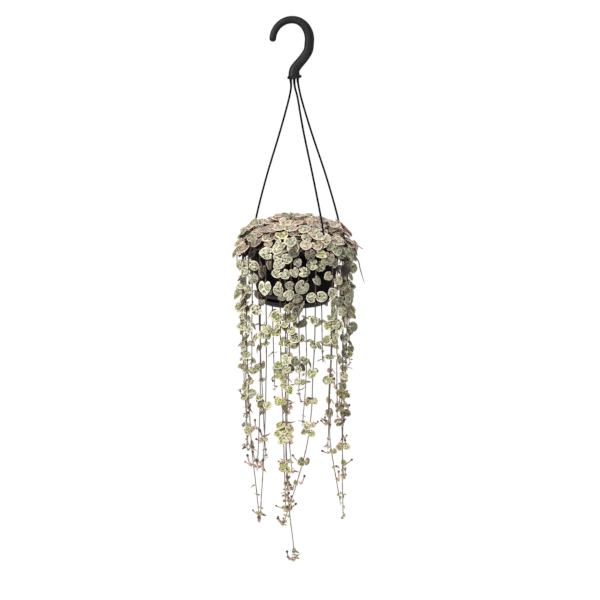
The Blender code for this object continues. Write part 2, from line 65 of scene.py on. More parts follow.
# How far a pair of leaves is turned round its stem at most, in degrees.
PAIR_TURN = 65
UP = Vector((0.0, 0.0, 1.0))

# Sizes that the solids share.
GAP = 0.0003
RIM_Z = -0.265
RIM_RADIUS = 0.060
STRAND_AZIMUTHS = {"strand_left": (150, 154), "strand_front": (270, 308), "strand_right": (30, 9)}


class Slot(Enum):
    """The kinds of material that the pieces are made of."""

    HANGER = "hanger"
    POT = "pot"
    SOIL = "soil"
    STEMS = "stems"
    LEAVES = "leaves"
    FLOWERS = "flowers"


# ---- geometry ----


def on_circle(azimuth: float, radius: float, z: float = 0.0) -> Vector:
    """Return the point at an azimuth in degrees, a radius from the pot's axis and a height."""
    angle = math.radians(azimuth)
    return Vector((radius * math.cos(angle), radius * math.sin(angle), z))


def rotation(degrees: float, axis: str | Vector) -> Matrix:
    """Return the turn by an angle in degrees about an axis."""
    return Matrix.Rotation(math.radians(degrees), 3, axis)


def share_of_one(value: float) -> float:
    """Return a number held between 0 and 1."""
    return min(1.0, max(0.0, value))


def smooth_path(points: Sequence[Vector], spacing: float) -> list[Vector]:
    """Return points along the Catmull-Rom curve through the given ones.

    Args:
        points: The points that the curve runs through.
        spacing: The distance between the points of the result, more or less.

    Returns:
        The points of the curve, ends included.
    """
    padded = [2 * points[0] - points[1], *points, 2 * points[-1] - points[-2]]
    path = [points[0].copy()]
    for a, b, c, d in zip(padded, padded[1:], padded[2:], padded[3:]):
        steps = max(1, round((c - b).length / spacing))
        for k in range(1, steps + 1):
            t = k / steps
            path.append(0.5 * (2 * b + (c - a) * t + (2 * a - 5 * b + 4 * c - d) * t**2
                               + (3 * b - a - 3 * c + d) * t**3))
    return path


def tangents(path: Sequence[Vector]) -> list[Vector]:
    """Return the unit direction of a path at each of its points."""
    ends = [path[0], *path, path[-1]]
    return [(after - before).normalized() for before, after in zip(ends, ends[2:])]


def ring_faces(rings: int, sides: int) -> Faces:
    """Return the four-sided faces between rings of points that follow one another.

    Args:
        rings: How many rings there are.
        sides: How many points each ring has.

    Returns:
        The faces.
    """
    faces: Faces = []
    for row in range(rings - 1):
        for k in range(sides):
            a, b = row * sides + k, row * sides + (k + 1) % sides
            faces.append((a, b, b + sides, a + sides))
    return faces


def tube(path: Sequence[Vector], radii: Sequence[float], sides: int) -> tuple[np.ndarray, Faces]:
    """Return a closed tube along a path.

    Args:
        path: The middle line.
        radii: The radius at each point of the path.
        sides: The number of sides.

    Returns:
        The points, ring after ring, and the faces.
    """
    points = []
    directions = tangents(path)
    across = directions[0].orthogonal().normalized()
    for centre, direction, radius in zip(path, directions, radii):
        across = (across - direction * across.dot(direction)).normalized()
        other = direction.cross(across)
        for k in range(sides):
            angle = math.tau * k / sides
            points.append(centre + radius * (math.cos(angle) * across + math.sin(angle) * other))
    faces = ring_faces(len(path), sides)
    faces.append(tuple(range(sides - 1, -1, -1)))
    last = (len(path) - 1) * sides
    faces.append(tuple(range(last, last + sides)))
    return np.array(points), faces


def turned(profile: Sequence[tuple[float, float]], sides: int) -> tuple[np.ndarray, Faces]:
    """Return a closed body turned about the pot's axis.

    Args:
        profile: (radius, height) down the outer side and back up the inner one. A radius of 0 closes an end.
        sides: The number of steps round the axis.

    Returns:
        The points and the faces.
    """
    points, faces, rings = [], [], []
    for radius, z in profile:
        if radius == 0:
            rings.append([len(points)] * sides)
            points.append((0.0, 0.0, z))
            continue
        rings.append(list(range(len(points), len(points) + sides)))
        for k in range(sides):
            angle = math.tau * k / sides
            points.append((radius * math.cos(angle), radius * math.sin(angle), z))
    pairs = list(zip(rings, rings[1:]))
    if profile[0][0] and profile[-1][0]:
        pairs.append((rings[-1], rings[0]))
    for upper, lower in pairs:
        for k in range(sides):
            after = (k + 1) % sides
            corners = (upper[k], lower[k], lower[after], upper[after])
            faces.append(tuple(dict.fromkeys(corners)))
    return np.array(points), faces


@dataclass
class Surface:
    """One piece, gathered part by part: points, faces, finishes and the values that the finishes read.

    Attributes:
        name: The name of the piece.
        finishes: The materials, in the order that the slots count them.
        slot: The kind of material that the piece is made of; not used.
        points, faces, slots, growth, place, count: What has been gathered so far.
    """

    name: str
    finishes: list[bpy.types.Material]
    slot: Slot
    points: list[np.ndarray] = field(default_factory=list)
    faces: Faces = field(default_factory=list)
    slots: list[int] = field(default_factory=list)
    growth: list[np.ndarray] = field(default_factory=list)
    place: list[np.ndarray] = field(default_factory=list)
    count: int = 0

    def add(self, points: np.ndarray, faces: Faces, growth: np.ndarray | None = None,
            place: np.ndarray | None = None, slots: Sequence[int] | None = None) -> None:
        """Add one part.

        Args:
            points: The part's points.
            faces: Its faces, counted from its own first point.
            growth: Four numbers for each point that say how the finish varies; on leaves one also carries
                painted shade.
            place: The position of each point in the part's own plane.
            slots: The finish of each face.
        """
        self.points.append(np.asarray(points, dtype=float))
        self.faces += [tuple(k + self.count for k in face) for face in faces]
        self.slots += list(slots) if slots is not None else [0] * len(faces)
        self.growth.append(growth if growth is not None else np.zeros((len(points), 4)))
        self.place.append(place if place is not None else np.zeros((len(points), 3)))
        self.count += len(points)

    def build(self, replaced: Sequence[str] = ()) -> bpy.types.Object:
        """Make the object, set it on the body that it rides on, and hide the solids that it stands for.

        Args:
            replaced: The nodes that this piece stands for.

        Returns:
            The object.
        """
        mesh = bpy.data.meshes.new(self.name)
        mesh.from_pydata(np.concatenate(self.points).tolist(), [], self.faces)
        mesh.update()
        mesh.shade_smooth()
        for finish in self.finishes:
            mesh.materials.append(finish)
        mesh.polygons.foreach_set("material_index", self.slots)
        growth = mesh.attributes.new("growth", "FLOAT_COLOR", "POINT")
        growth.data.foreach_set("color", np.concatenate(self.growth).astype(np.float32).ravel())
        place = mesh.attributes.new("place", "FLOAT_VECTOR", "POINT")
        place.data.foreach_set("vector", np.concatenate(self.place).astype(np.float32).ravel())
        obj = bpy.data.objects.new(self.name, mesh)
        bpy.context.scene.collection.objects.link(obj)
        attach(obj, BODY)
        if replaced:
            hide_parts(*replaced)
        LOG.info("%s: %d faces", self.name, len(self.faces))
        return obj


def sharpen(obj: bpy.types.Object, degrees: float) -> None:
    """Keep the edges of a piece crisp where its faces meet at more than an angle in degrees."""
    obj.data.set_sharp_from_angle(angle=math.radians(degrees))


# ---- finishes ----


def shade(red: float, green: float, blue: float) -> Colour:
    """Return a display colour of 0 to 255 as the linear one that shaders take."""
    channels = (red, green, blue)
    return tuple(((c / 255 + 0.055) / 1.055) ** 2.4 if c > 10 else c / 255 / 12.92 for c in channels)


class Graph:
    """A material's node tree, with short ways to make and join its nodes."""

    def __init__(self, name: str, roughness: float, sheen: float = 0.5) -> None:
        """Start a Principled material.

        Args:
            name: The material's name.
            roughness: The shader's roughness where nothing is joined to it.
            sheen: How strongly it reflects.
        """
        self.material = bpy.data.materials.new(name)
        self.material.use_nodes = True
        self.tree = self.material.node_tree
        self.shader = self.tree.nodes["Principled BSDF"]
        self.shader.inputs["Roughness"].default_value = roughness
        self.shader.inputs["Specular IOR Level"].default_value = sheen

    def node(self, kind: str, **settings: object) -> bpy.types.Node:
        """Return a new node with its settings.

        Args:
            kind: The node's type.
            **settings: Its properties.

        Returns:
            The node.
        """
        made = self.tree.nodes.new(kind)
        for name, value in settings.items():
            setattr(made, name, value)
        return made

    def feed(self, socket: Socket, value: Socket | float | Colour) -> None:
        """Join a socket to another, or set its value.

        Args:
            socket: The socket that takes the value.
            value: A socket to join to it, or its fixed value.
        """
        if isinstance(value, bpy.types.NodeSocket):
            self.tree.links.new(value, socket)
        elif isinstance(value, tuple):
            socket.default_value = (*value, 1.0) if len(socket.default_value) == 4 else value
        else:
            socket.default_value = value

    def attribute(self, name: str) -> bpy.types.Node:
        """Return the node that reads a value stored with the mesh."""
        return self.node("ShaderNodeAttribute", attribute_name=name)

    def split(self, vector: Socket) -> tuple[Socket, Socket, Socket]:
        """Return the three parts of a vector.

        Args:
            vector: The vector.

        Returns:
            Its three parts.
        """
        made = self.node("ShaderNodeSeparateXYZ")
        self.feed(made.inputs[0], vector)
        return tuple(made.outputs)

    def join(self, x: Socket | float, y: Socket | float, z: Socket | float) -> Socket:
        """Return the vector with three parts.

        Args:
            x: The first part.
            y: The second part.
            z: The third part.

        Returns:
            The vector.
        """
        made = self.node("ShaderNodeCombineXYZ")
        for socket, value in zip(made.inputs, (x, y, z)):
            self.feed(socket, value)
        return made.outputs[0]

    def math(self, operation: str, a: Socket | float, b: Socket | float = 0.0) -> Socket:
        """Return the result of a sum of two numbers.

        Args:
            operation: The name of the sum.
            a: The first number.
            b: The second number.

        Returns:
            The result.
        """
        made = self.node("ShaderNodeMath", operation=operation)
        self.feed(made.inputs[0], a)
        self.feed(made.inputs[1], b)
        return made.outputs[0]

    def times(self, a: Socket | float, b: Socket | float) -> Socket:
        """Return the product of two numbers."""
        return self.math("MULTIPLY", a, b)

    def plus(self, a: Socket | float, b: Socket | float) -> Socket:
        """Return the sum of two numbers."""
        return self.math("ADD", a, b)

    def minus(self, a: Socket | float, b: Socket | float) -> Socket:
        """Return the first number less the second."""
        return self.math("SUBTRACT", a, b)

    def step(self, value: Socket, low: float | Socket, high: float | Socket, start: float = 0.0,
             end: float = 1.0) -> Socket:
        """Return a smooth step of a value.

        Args:
            value: The number that varies.
            low: Where the step starts.
            high: Where it ends.
            start: The result below the step.
            end: The result above it.

        Returns:
            The result.
        """
        made = self.node("ShaderNodeMapRange", interpolation_type="SMOOTHSTEP")
        for socket, number in zip(made.inputs, (value, low, high, start, end)):
            self.feed(socket, number)
        return made.outputs[0]

    def mix(self, share: Socket | float, a: Socket | Colour, b: Socket | Colour,
            blend: str = "MIX") -> Socket:
        """Return a blend of two colours.

        Args:
            share: How much of the second one shows.
            a: The first colour.
            b: The second colour.
            blend: The way of blending.

        Returns:
            The colour.
        """
        made = self.node("ShaderNodeMix", data_type="RGBA", blend_type=blend)
        self.feed(made.inputs[0], share)
        self.feed(made.inputs[6], a)
        self.feed(made.inputs[7], b)
        return made.outputs[2]

    def object_place(self) -> Socket:
        """Return the position on the part, in metres."""
        return self.node("ShaderNodeTexCoord").outputs["Object"]

    def noise(self, vector: Socket, scale: float, detail: float = 2.0, seed: Socket | float = 0.0) -> Socket:
        """Return a cloud pattern.

        Args:
            vector: Where it is read.
            scale: How fine it is.
            detail: The number of finer layers.
            seed: Which pattern it is.

        Returns:
            A number about 0.5.
        """
        made = self.node("ShaderNodeTexNoise", noise_dimensions="4D")
        self.feed(made.inputs["Vector"], vector)
        self.feed(made.inputs["Scale"], scale)
        self.feed(made.inputs["Detail"], detail)
        self.feed(made.inputs["W"], seed)
        return made.outputs["Fac"]

    def wander(self, vector: Socket, scale: float, detail: float, seed: Socket | float,
               reach: float) -> Socket:
        """Return a cloud pattern about nought that goes half its reach either way."""
        return self.times(self.minus(self.noise(vector, scale, detail, seed), 0.5), reach)

    def spots(self, vector: Socket, scale: float, seed: Socket | float = 0.0) -> tuple[Socket, Socket]:
        """Return a pattern of cells as the distance from each cell's middle and the cell's own colour.

        Args:
            vector: Where the pattern is read.
            scale: How many cells there are along a unit.
            seed: Which pattern it is.

        Returns:
            The distance from the cell's middle, and the cell's own colour.
        """
        made = self.node("ShaderNodeTexVoronoi", voronoi_dimensions="4D")
        self.feed(made.inputs["Vector"], vector)
        self.feed(made.inputs["Scale"], scale)
        self.feed(made.inputs["W"], seed)
        return made.outputs["Distance"], made.outputs["Color"]

    def bump(self, height: Socket, distance: float, strength: float = 1.0) -> None:
        """Raise the surface by a height.

        Args:
            height: The height as a share of the distance.
            distance: The full height in metres.
            strength: How much of it shows.
        """
        made = self.node("ShaderNodeBump")
        made.inputs["Strength"].default_value = strength
        made.inputs["Distance"].default_value = distance
        self.feed(made.inputs["Height"], height)
        self.feed(self.shader.inputs["Normal"], made.outputs["Normal"])

    def finish(self, colour: Socket, roughness: Socket | None = None) -> bpy.types.Material:
        """Join the colour and the roughness to the shader, and return the material.

        Args:
            colour: The surface's colour.
            roughness: Its roughness, or nothing if it is the shader's own.

        Returns:
            The material.
        """
        self.feed(self.shader.inputs["Base Color"], colour)
        if roughness is not None:
            self.feed(self.shader.inputs["Roughness"], roughness)
        return self.material


@dataclass(frozen=True)
class MouldedPlastic:
    """Moulded plastic with a fine grain, scuffs and dust.

    Attributes:
        name: The material's name.
        colour: Its colour.
        scuffed: The paler colour of scuffs.
        roughness: How matt it is.
        grain: The size of its moulded grain in metres.
        relief: The height of the grain in metres.
        sheen: How strongly it reflects.
    """

    name: str
    colour: Colour
    scuffed: Colour
    roughness: float
    grain: float
    relief: float
    sheen: float = 0.30

    def build(self) -> bpy.types.Material:
        """Return the material.

        Returns:
            The material.
        """
        graph = Graph(self.name, self.roughness, self.sheen)
        place = graph.object_place()
        clouds = graph.noise(place, 38.0, 3.0)
        grain = graph.noise(place, 1 / self.grain, 2.0)
        fine = graph.noise(place, 0.35 / self.grain, 4.0)
        scuff = graph.step(clouds, 0.50, 0.75, 0.0, 0.55)
        colour = graph.mix(scuff, self.colour, self.scuffed)
        colour = graph.mix(graph.step(fine, 0.62, 0.80, 0.0, 0.6), colour, self.scuffed)
        rough = graph.step(clouds, 0.3, 0.8, self.roughness - 0.06, self.roughness + 0.10)
        graph.bump(grain, self.relief, 0.6)
        return graph.finish(colour, rough)


@dataclass(frozen=True)
class SoilMix:
    """Moist peat and bark.

    Attributes:
        name: The material's name.
        wet: The colour of moist peat.
        dry: The colour of drier crumbs.
    """

    name: str
    wet: Colour
    dry: Colour

    def build(self) -> bpy.types.Material:
        """Return the material.

        Returns:
            The material.
        """
        graph = Graph(self.name, 0.92)
        place = graph.object_place()
        lumps = graph.noise(place, 260.0, 5.0)
        distance, cell = graph.spots(place, 420.0)
        colour = graph.mix(graph.step(lumps, 0.38, 0.66), self.wet, self.dry)
        colour = graph.mix(graph.step(graph.split(cell)[0], 0.78, 0.95, 0.0, 0.5), colour, shade(118, 92, 66))
        graph.bump(graph.minus(lumps, distance), 0.0012)
        return graph.finish(colour)


@dataclass(frozen=True)
class Perlite:
    """White, porous grains in the soil."""

    name: str = "perlite"

    def build(self) -> bpy.types.Material:
        """Return the material.

        Returns:
            The material.
        """
        graph = Graph(self.name, 0.85)
        place = graph.object_place()
        pores = graph.noise(place, 1500.0, 3.0)
        colour = graph.mix(graph.step(pores, 0.35, 0.65), shade(168, 160, 146), shade(232, 229, 220))
        graph.bump(pores, 0.0003)
        return graph.finish(colour)


@dataclass(frozen=True)
class StemSkin:
    """The thin, wiry skin of the vines, which is purple-brown near the pot and greyer further down.

    Attributes:
        name: The material's name.
        young: The colour of growth near the crown.
        old: The colour of the long bare lengths.
        fresh: The colour of leaf stalks.
    """

    name: str
    young: Colour
    old: Colour
    fresh: Colour

    def build(self) -> bpy.types.Material:
        """Return the material.

        Returns:
            The material.
        """
        graph = Graph(self.name, 0.55)
        age, stalk, _ = graph.split(graph.attribute("growth").outputs["Vector"])
        place = graph.object_place()
        streaks = graph.noise(place, 420.0, 3.0)
        colour = graph.mix(age, self.young, self.old)
        colour = graph.mix(graph.times(stalk, 0.75), colour, self.fresh)
        colour = graph.mix(graph.step(streaks, 0.35, 0.72, 0.0, 0.45), colour, shade(80, 54, 48))
        graph.bump(graph.noise(place, 1600.0, 2.0), 0.0001, 0.7)
        return graph.finish(colour)


@dataclass(frozen=True)
class LeafSkin:
    """The mottled upper side of a leaf: silver-green between pale veins, dark blotches and a cream margin.

    Attributes:
        name: The material's name.
        silver: The palest green.
        grey: The middle green.
        dark: The blotches.
        young: The middle green of young growth, which is yellower.
        pale: The palest green of young growth.
        leafy: The blotches of young growth.
        cream: The margin.
        pink: The flush of the margin.
        margin: The margin's width as a share of the leaf's.
        vein_turn: The angle between two veins, in radians.
        blotch_rows: How many blotches there are from the stalk to the margin, for a leaf one unit wide.
    """

    name: str = "leaf_upper_side"
    silver: Colour = shade(212, 210, 182)
    grey: Colour = shade(146, 150, 114)
    dark: Colour = shade(40, 54, 30)
    young: Colour = shade(158, 166, 84)
    pale: Colour = shade(224, 216, 160)
    leafy: Colour = shade(74, 94, 34)
    cream: Colour = shade(242, 230, 208)
    pink: Colour = shade(208, 132, 138)
    margin: float = 0.056
    vein_turn: float = 0.62
    blotch_rows: float = 6.6

    def build(self) -> bpy.types.Material:
        """Return the material.

        Returns:
            The material.
        """
        graph = Graph(self.name, 0.42, LEAF_SHEEN)
        x, y, edge = graph.split(graph.attribute("place").outputs["Vector"])
        growth = graph.attribute("growth")
        pink, tone, seed = graph.split(growth.outputs["Vector"])
        fresh = growth.outputs["Alpha"]
        seed = graph.times(seed, 57.0)
        flat = graph.join(x, y, 0.0)
        radius = graph.math("SQRT", graph.plus(graph.times(x, x), graph.times(y, y)))
        wander = graph.wander(flat, 3.5, 1.0, seed, 0.55)
        turn = graph.math("DIVIDE", graph.plus(graph.math("ARCTAN2", y, x), wander), self.vein_turn)
        veins = self.veins(graph, turn, radius)
        clouds = graph.noise(flat, 4.2, 3.0, seed)
        silver, grey = graph.mix(fresh, self.silver, self.pale), graph.mix(fresh, self.grey, self.young)
        colour = graph.mix(graph.step(clouds, 0.40, 0.68), grey, silver)
        blotches = self.blotches(graph, turn, flat, edge, radius, seed)
        blotches = graph.times(blotches, graph.minus(1.0, graph.times(veins, 0.8)))
        colour = graph.mix(graph.times(veins, 0.45), colour, silver)
        colour = graph.mix(graph.times(blotches, 0.88), colour, graph.mix(fresh, self.dark, self.leafy))
        colour = graph.mix(graph.times(graph.times(pink, pink), 0.22), colour, self.pink)
        colour = self.with_margin(graph, colour, edge, flat, pink, seed)
        # Painted shade: a low tone value multiplies the leaf towards a dark colour, for deep and shaded
        # leaves.
        painted_shade = graph.mix(1.0, colour, shade(42, 40, 30), "MULTIPLY")
        colour = graph.mix(graph.step(tone, 0.0, 1.0, 0.96, 0.0), colour, painted_shade)
        sunk = graph.times(veins, graph.step(edge, self.margin, self.margin + 0.10, 0.0, -0.5))
        height = graph.plus(sunk, graph.noise(flat, 24.0, 3.0, seed))
        graph.bump(height, 0.00018, 0.7)
        return graph.finish(colour, graph.step(clouds, 0.2, 0.8, 0.36, 0.50))

    def veins(self, graph: Graph, turn: Socket, radius: Socket) -> Socket:
        """Return where the veins are, which spread like a fan from the end of the stalk.

        Args:
            graph: The material's graph.
            turn: The direction from the end of the stalk, counted in veins.
            radius: The distance from the end of the stalk.

        Returns:
            1 on a vein and 0 off it.
        """
        nearest = graph.math("ABSOLUTE", graph.minus(turn, graph.math("ROUND", turn)))
        away = graph.times(nearest, graph.times(radius, self.vein_turn))
        return graph.times(graph.step(away, 0.006, 0.030, 1.0, 0.0), graph.step(radius, 0.10, 0.22))

    def blotches(self, graph: Graph, turn: Socket, flat: Socket, edge: Socket, radius: Socket,
                 seed: Socket) -> Socket:
        """Return where the dark blotches are: ragged cells between the veins, and none at the margin.

        Args:
            graph: The material's graph.
            turn: The direction from the end of the stalk, counted in veins.
            flat: The place on the blade.
            edge: The distance from the margin.
            radius: The distance from the end of the stalk.
            seed: The leaf's own number.

        Returns:
            1 on a blotch and 0 off it.
        """
        fan = graph.join(graph.times(turn, 1.5), graph.times(radius, self.blotch_rows), 0.0)
        ragged = graph.wander(flat, 15.0, 3.0, seed, 0.8)
        distance, cell = graph.spots(fan, 1.0, seed)
        size = graph.step(graph.split(cell)[0], 0.10, 0.85, 0.26, 0.86)
        inside = graph.minus(size, graph.plus(distance, ragged))
        shown = graph.step(inside, -0.05, 0.11)
        shown = graph.times(shown, graph.step(edge, self.margin, self.margin + 0.06))
        return graph.times(shown, graph.step(radius, 0.10, 0.22))

    def with_margin(self, graph: Graph, colour: Socket, edge: Socket, flat: Socket, pink: Socket,
                    seed: Socket) -> Socket:
        """Return the colour with its cream margin, which flushes pink at the very edge.

        Args:
            graph: The material's graph.
            colour: The blade's colour.
            edge: The distance from the margin.
            flat: The place on the blade.
            pink: How pink the leaf is.
            seed: The leaf's own number.

        Returns:
            The colour with its margin.
        """
        ragged = graph.wander(flat, 7.0, 2.0, seed, 0.075)
        inward = graph.plus(edge, ragged)
        margin = graph.step(inward, self.margin * 0.65, self.margin * 1.25, 1.0, 0.0)
        rim = graph.step(edge, 0.0, self.margin, 1.0, 0.0)
        flush = graph.times(pink, graph.plus(graph.times(rim, 0.85), 0.20))
        cream = graph.mix(flush, self.cream, self.pink)
        return graph.mix(graph.times(margin, 0.94), colour, cream)


@dataclass(frozen=True)
class LeafBack:
    """The plain underside of a leaf, from pale green to mauve-red.

    Attributes:
        name: The material's name.
        green: The colour of shaded leaves.
        mauve: The colour of leaves that grew in full light.
        rose: The colour near their margins.
    """

    name: str = "leaf_underside"
    green: Colour = shade(190, 188, 146)
    mauve: Colour = shade(190, 126, 136)
    rose: Colour = shade(228, 182, 176)

    def build(self) -> bpy.types.Material:
        """Return the material.

        Returns:
            The material.
        """
        graph = Graph(self.name, 0.5, LEAF_SHEEN)
        x, y, edge = graph.split(graph.attribute("place").outputs["Vector"])
        pink, tone, seed = graph.split(graph.attribute("growth").outputs["Vector"])
        seed = graph.times(seed, 31.0)
        flat = graph.join(x, y, 0.0)
        clouds = graph.noise(flat, 5.0, 3.0, seed)
        colour = graph.mix(graph.step(pink, 0.40, 0.85), self.green, self.mauve)
        colour = graph.mix(graph.step(clouds, 0.4, 0.7, 0.0, 0.35), colour, self.rose)
        colour = graph.mix(graph.step(edge, 0.0, 0.10, 0.85, 0.0), colour, self.rose)
        # Painted shade: a low tone value multiplies the underside towards a darker colour.
        painted_shade = graph.mix(1.0, colour, shade(160, 152, 130), "MULTIPLY")
        colour = graph.mix(graph.step(tone, 0.0, 1.0, 0.8, 0.0), colour, painted_shade)
        graph.bump(graph.noise(flat, 18.0, 3.0, seed), 0.0002, 0.7)
        return graph.finish(colour)


@dataclass(frozen=True)
class FlowerSkin:
    """The lantern flowers: a rosy bulb, a pale tube and a dark, closed tip.

    Attributes:
        name: The material's name.
        stalk: The colour of the flower's stalk.
        bulb: The colour of the swollen base.
        tube: The colour of the tube.
        tip: The colour of the tip.
    """

    name: str = "lantern_flower"
    stalk: Colour = shade(134, 100, 84)
    bulb: Colour = shade(198, 150, 143)
    tube: Colour = shade(151, 113, 97)
    tip: Colour = shade(66, 48, 42)

    def build(self) -> bpy.types.Material:
        """Return the material.

        Returns:
            The material.
        """
        graph = Graph(self.name, 0.5)
        along, green, _ = graph.split(graph.attribute("growth").outputs["Vector"])
        place = graph.object_place()
        streaks = graph.noise(place, 900.0, 3.0)
        along = graph.plus(along, graph.times(graph.minus(streaks, 0.5), 0.08))
        colour = graph.mix(graph.step(along, 0.22, 0.34), self.stalk, self.bulb)
        colour = graph.mix(graph.step(along, 0.50, 0.62), colour, self.tube)
        colour = graph.mix(graph.step(along, 0.80, 0.88), colour, self.tip)
        colour = graph.mix(graph.times(green, 0.6), colour, shade(120, 112, 72))
        graph.bump(streaks, 0.0001, 0.6)
        return graph.finish(colour)


# ---- hanger ----


@dataclass
class Hook:
    """The question-mark hook: a band bent round an arc, a slanting limb and the collar at its foot.

    Attributes:
        offset_x: Where the arc's middle is, beside the pot's axis.
        radius: The radius of the band's middle line.
        tightening: How much that radius shrinks on the limb's side.
        band: Half the band's width and half its depth.
        tip: Half the width at the free end.
        limb: Half the limb's width and half its depth.
        limb_points: The limb's middle line as (x, z).
        foot: How far the limb's sides flare out at its foot.
        foot_top: Where that flare starts.
        collar_x: Where the collar's middle is, beside the pot's axis.
        collar_radius: The radius of the collar.
        collar_top: The height of the collar's top.
        collar_height: The collar's height.
        collar_tilt: How far the collar leans, in degrees.
        socket_circle: The radius of the circle that the strands leave the collar on.
        squareness: How boxy the band's section is, from 1 for an oval down to 0 for a box.
        tip_angle: Where the band starts, in degrees round the arc from its limb's side.
        seam: How far the mould's seam stands out.
    """

    offset_x: float = -0.0029
    radius: float = 0.0233
    tightening: float = 0.0030
    band: tuple[float, float] = (0.0043, 0.0034)
    tip: float = 0.0039
    limb: tuple[float, float] = (0.0055, 0.0044)
    limb_points: tuple[tuple[float, float], ...] = (
        (0.0164, -0.0290), (0.0142, -0.0345), (0.0092, -0.0415), (0.0044, -0.0470), (0.0005, -0.0520),
        (-0.0009, -0.0560), (-0.0009, -0.0620))
    foot: float = 0.0014
    foot_top: float = -0.0450
    collar_x: float = -0.0008
    collar_radius: float = 0.0087
    collar_top: float = -0.0602
    collar_height: float = 0.0038
    collar_tilt: float = 7.0
    socket_circle: float = 0.0048
    squareness: float = 0.62
    tip_angle: int = 176
    seam: float = 0.00016

    def stations(self) -> list[tuple[Vector, float, float]]:
        """Return the band's middle line with half its width and depth, from the tip to the collar.

        Returns:
            The centre, half the width and half the depth at each place.
        """
        centre_z = -math.sqrt((self.radius - self.band[0]) ** 2 - self.offset_x**2)
        found = []
        for angle in range(self.tip_angle, -1, -4):
            a = math.radians(angle)
            turn = math.cos(a) if angle < 90 else 0.0
            reach = self.radius - self.tightening * turn**2
            centre = Vector((self.offset_x + reach * math.cos(a), 0.0, centre_z + reach * math.sin(a)))
            width = self.band[0] + (self.limb[0] - self.band[0]) * turn**1.5
            width -= (self.band[0] - self.tip) * max(0.0, -math.cos(a))
            found.append((centre, width, self.band[1] + (self.limb[1] - self.band[1]) * turn))
        limb = [found[-1][0]] + [Vector((x, 0.0, z)) for x, z in self.limb_points]
        foot_z = self.limb_points[-1][1]
        for centre in smooth_path(limb, 0.0018)[1:]:
            flare = self.foot * max(0.0, (self.foot_top - centre.z) / (self.foot_top - foot_z)) ** 1.5
            found.append((centre, self.limb[0] + flare, self.limb[1] + flare / 2))
        first, width, depth = found[0]
        outward = (first - found[1][0]).normalized()
        dome = []
        for angle in (86, 72, 56, 40, 22, 8):
            a = math.radians(angle)
            dome.append((first + outward * width * math.sin(a), width * math.cos(a), depth * math.cos(a)))
        return dome + found

    def band_mesh(self, sides: int = 36) -> tuple[np.ndarray, Faces]:
        """Return the band with its flattened faces and the fine seam that its mould left.

        Args:
            sides: How many points go round the band.

        Returns:
            The points and the faces.
        """
        stations = self.stations()
        directions = tangents([centre for centre, _, _ in stations])
        points = []
        for (centre, width, depth), direction in zip(stations, directions):
            across = Vector((0.0, 1.0, 0.0)).cross(direction)
            for k in range(sides):
                c, s = math.cos(math.tau * k / sides), math.sin(math.tau * k / sides)
                seam = self.seam if k in (0, sides // 2) else 0.0
                u = math.copysign(abs(c) ** self.squareness, c) * width + math.copysign(seam, c)
                v = math.copysign(abs(s) ** self.squareness, s) * depth
                points.append(centre + across * u + Vector((0.0, v, 0.0)))
        faces = [(a, d, c, b) for a, b, c, d in ring_faces(len(stations), sides)]
        faces.append(tuple(range(sides)))
        last = (len(stations) - 1) * sides
        faces.append(tuple(range(last + sides - 1, last - 1, -1)))
        return np.array(points), faces

    def collar_mesh(self) -> tuple[np.ndarray, Faces]:
        """Return the tilted collar with its rounded edges and a groove round its side.

        Returns:
            The points and the faces.
        """
        profile = [(0.0, 0.0), (0.70, 0.0), (0.80, 0.02), (0.89, 0.08), (0.95, 0.16), (0.99, 0.28),
                   (1.0, 0.40), (0.985, 0.47), (0.985, 0.52), (1.0, 0.60), (0.99, 0.74), (0.95, 0.86),
                   (0.88, 0.95), (0.78, 1.0), (0.0, 1.0)]
        points, faces = turned([(self.collar_radius * r, -self.collar_height * d) for r, d in profile], 56)
        tilt = rotation(-self.collar_tilt, "Y")
        return points @ np.array(tilt).T + np.array((self.collar_x, 0.0, self.collar_top)), faces

    def socket_point(self, azimuth: float) -> Vector:
        """Return where a strand leaves the collar's underside.

        Args:
            azimuth: The strand's direction in degrees.

        Returns:
            The point.
        """
        point = on_circle(azimuth, self.socket_circle)
        point.z = self.collar_top - self.collar_height + point.x * math.tan(math.radians(self.collar_tilt))
        point.x += self.collar_x
        return point

    def dress(self, plastic: bpy.types.Material) -> None:
        """Build the hook and put its plastic on.

        Args:
            plastic: The hook's material.
        """
        surface = Surface("hook_body", [plastic], Slot.HANGER)
        surface.add(*self.band_mesh())
        surface.add(*self.collar_mesh())
        for azimuth, _ in STRAND_AZIMUTHS.values():
            point = self.socket_point(azimuth)
            ring = [(0.0021, 0.0004), (0.0021, -0.0003), (0.0017, -0.0008), (0.0013, -0.0009),
                    (0.0013, 0.0004)]
            points, faces = turned(ring, 20)
            surface.add(points + np.array(point), faces)
        sharpen(surface.build(["hook"]), 50)


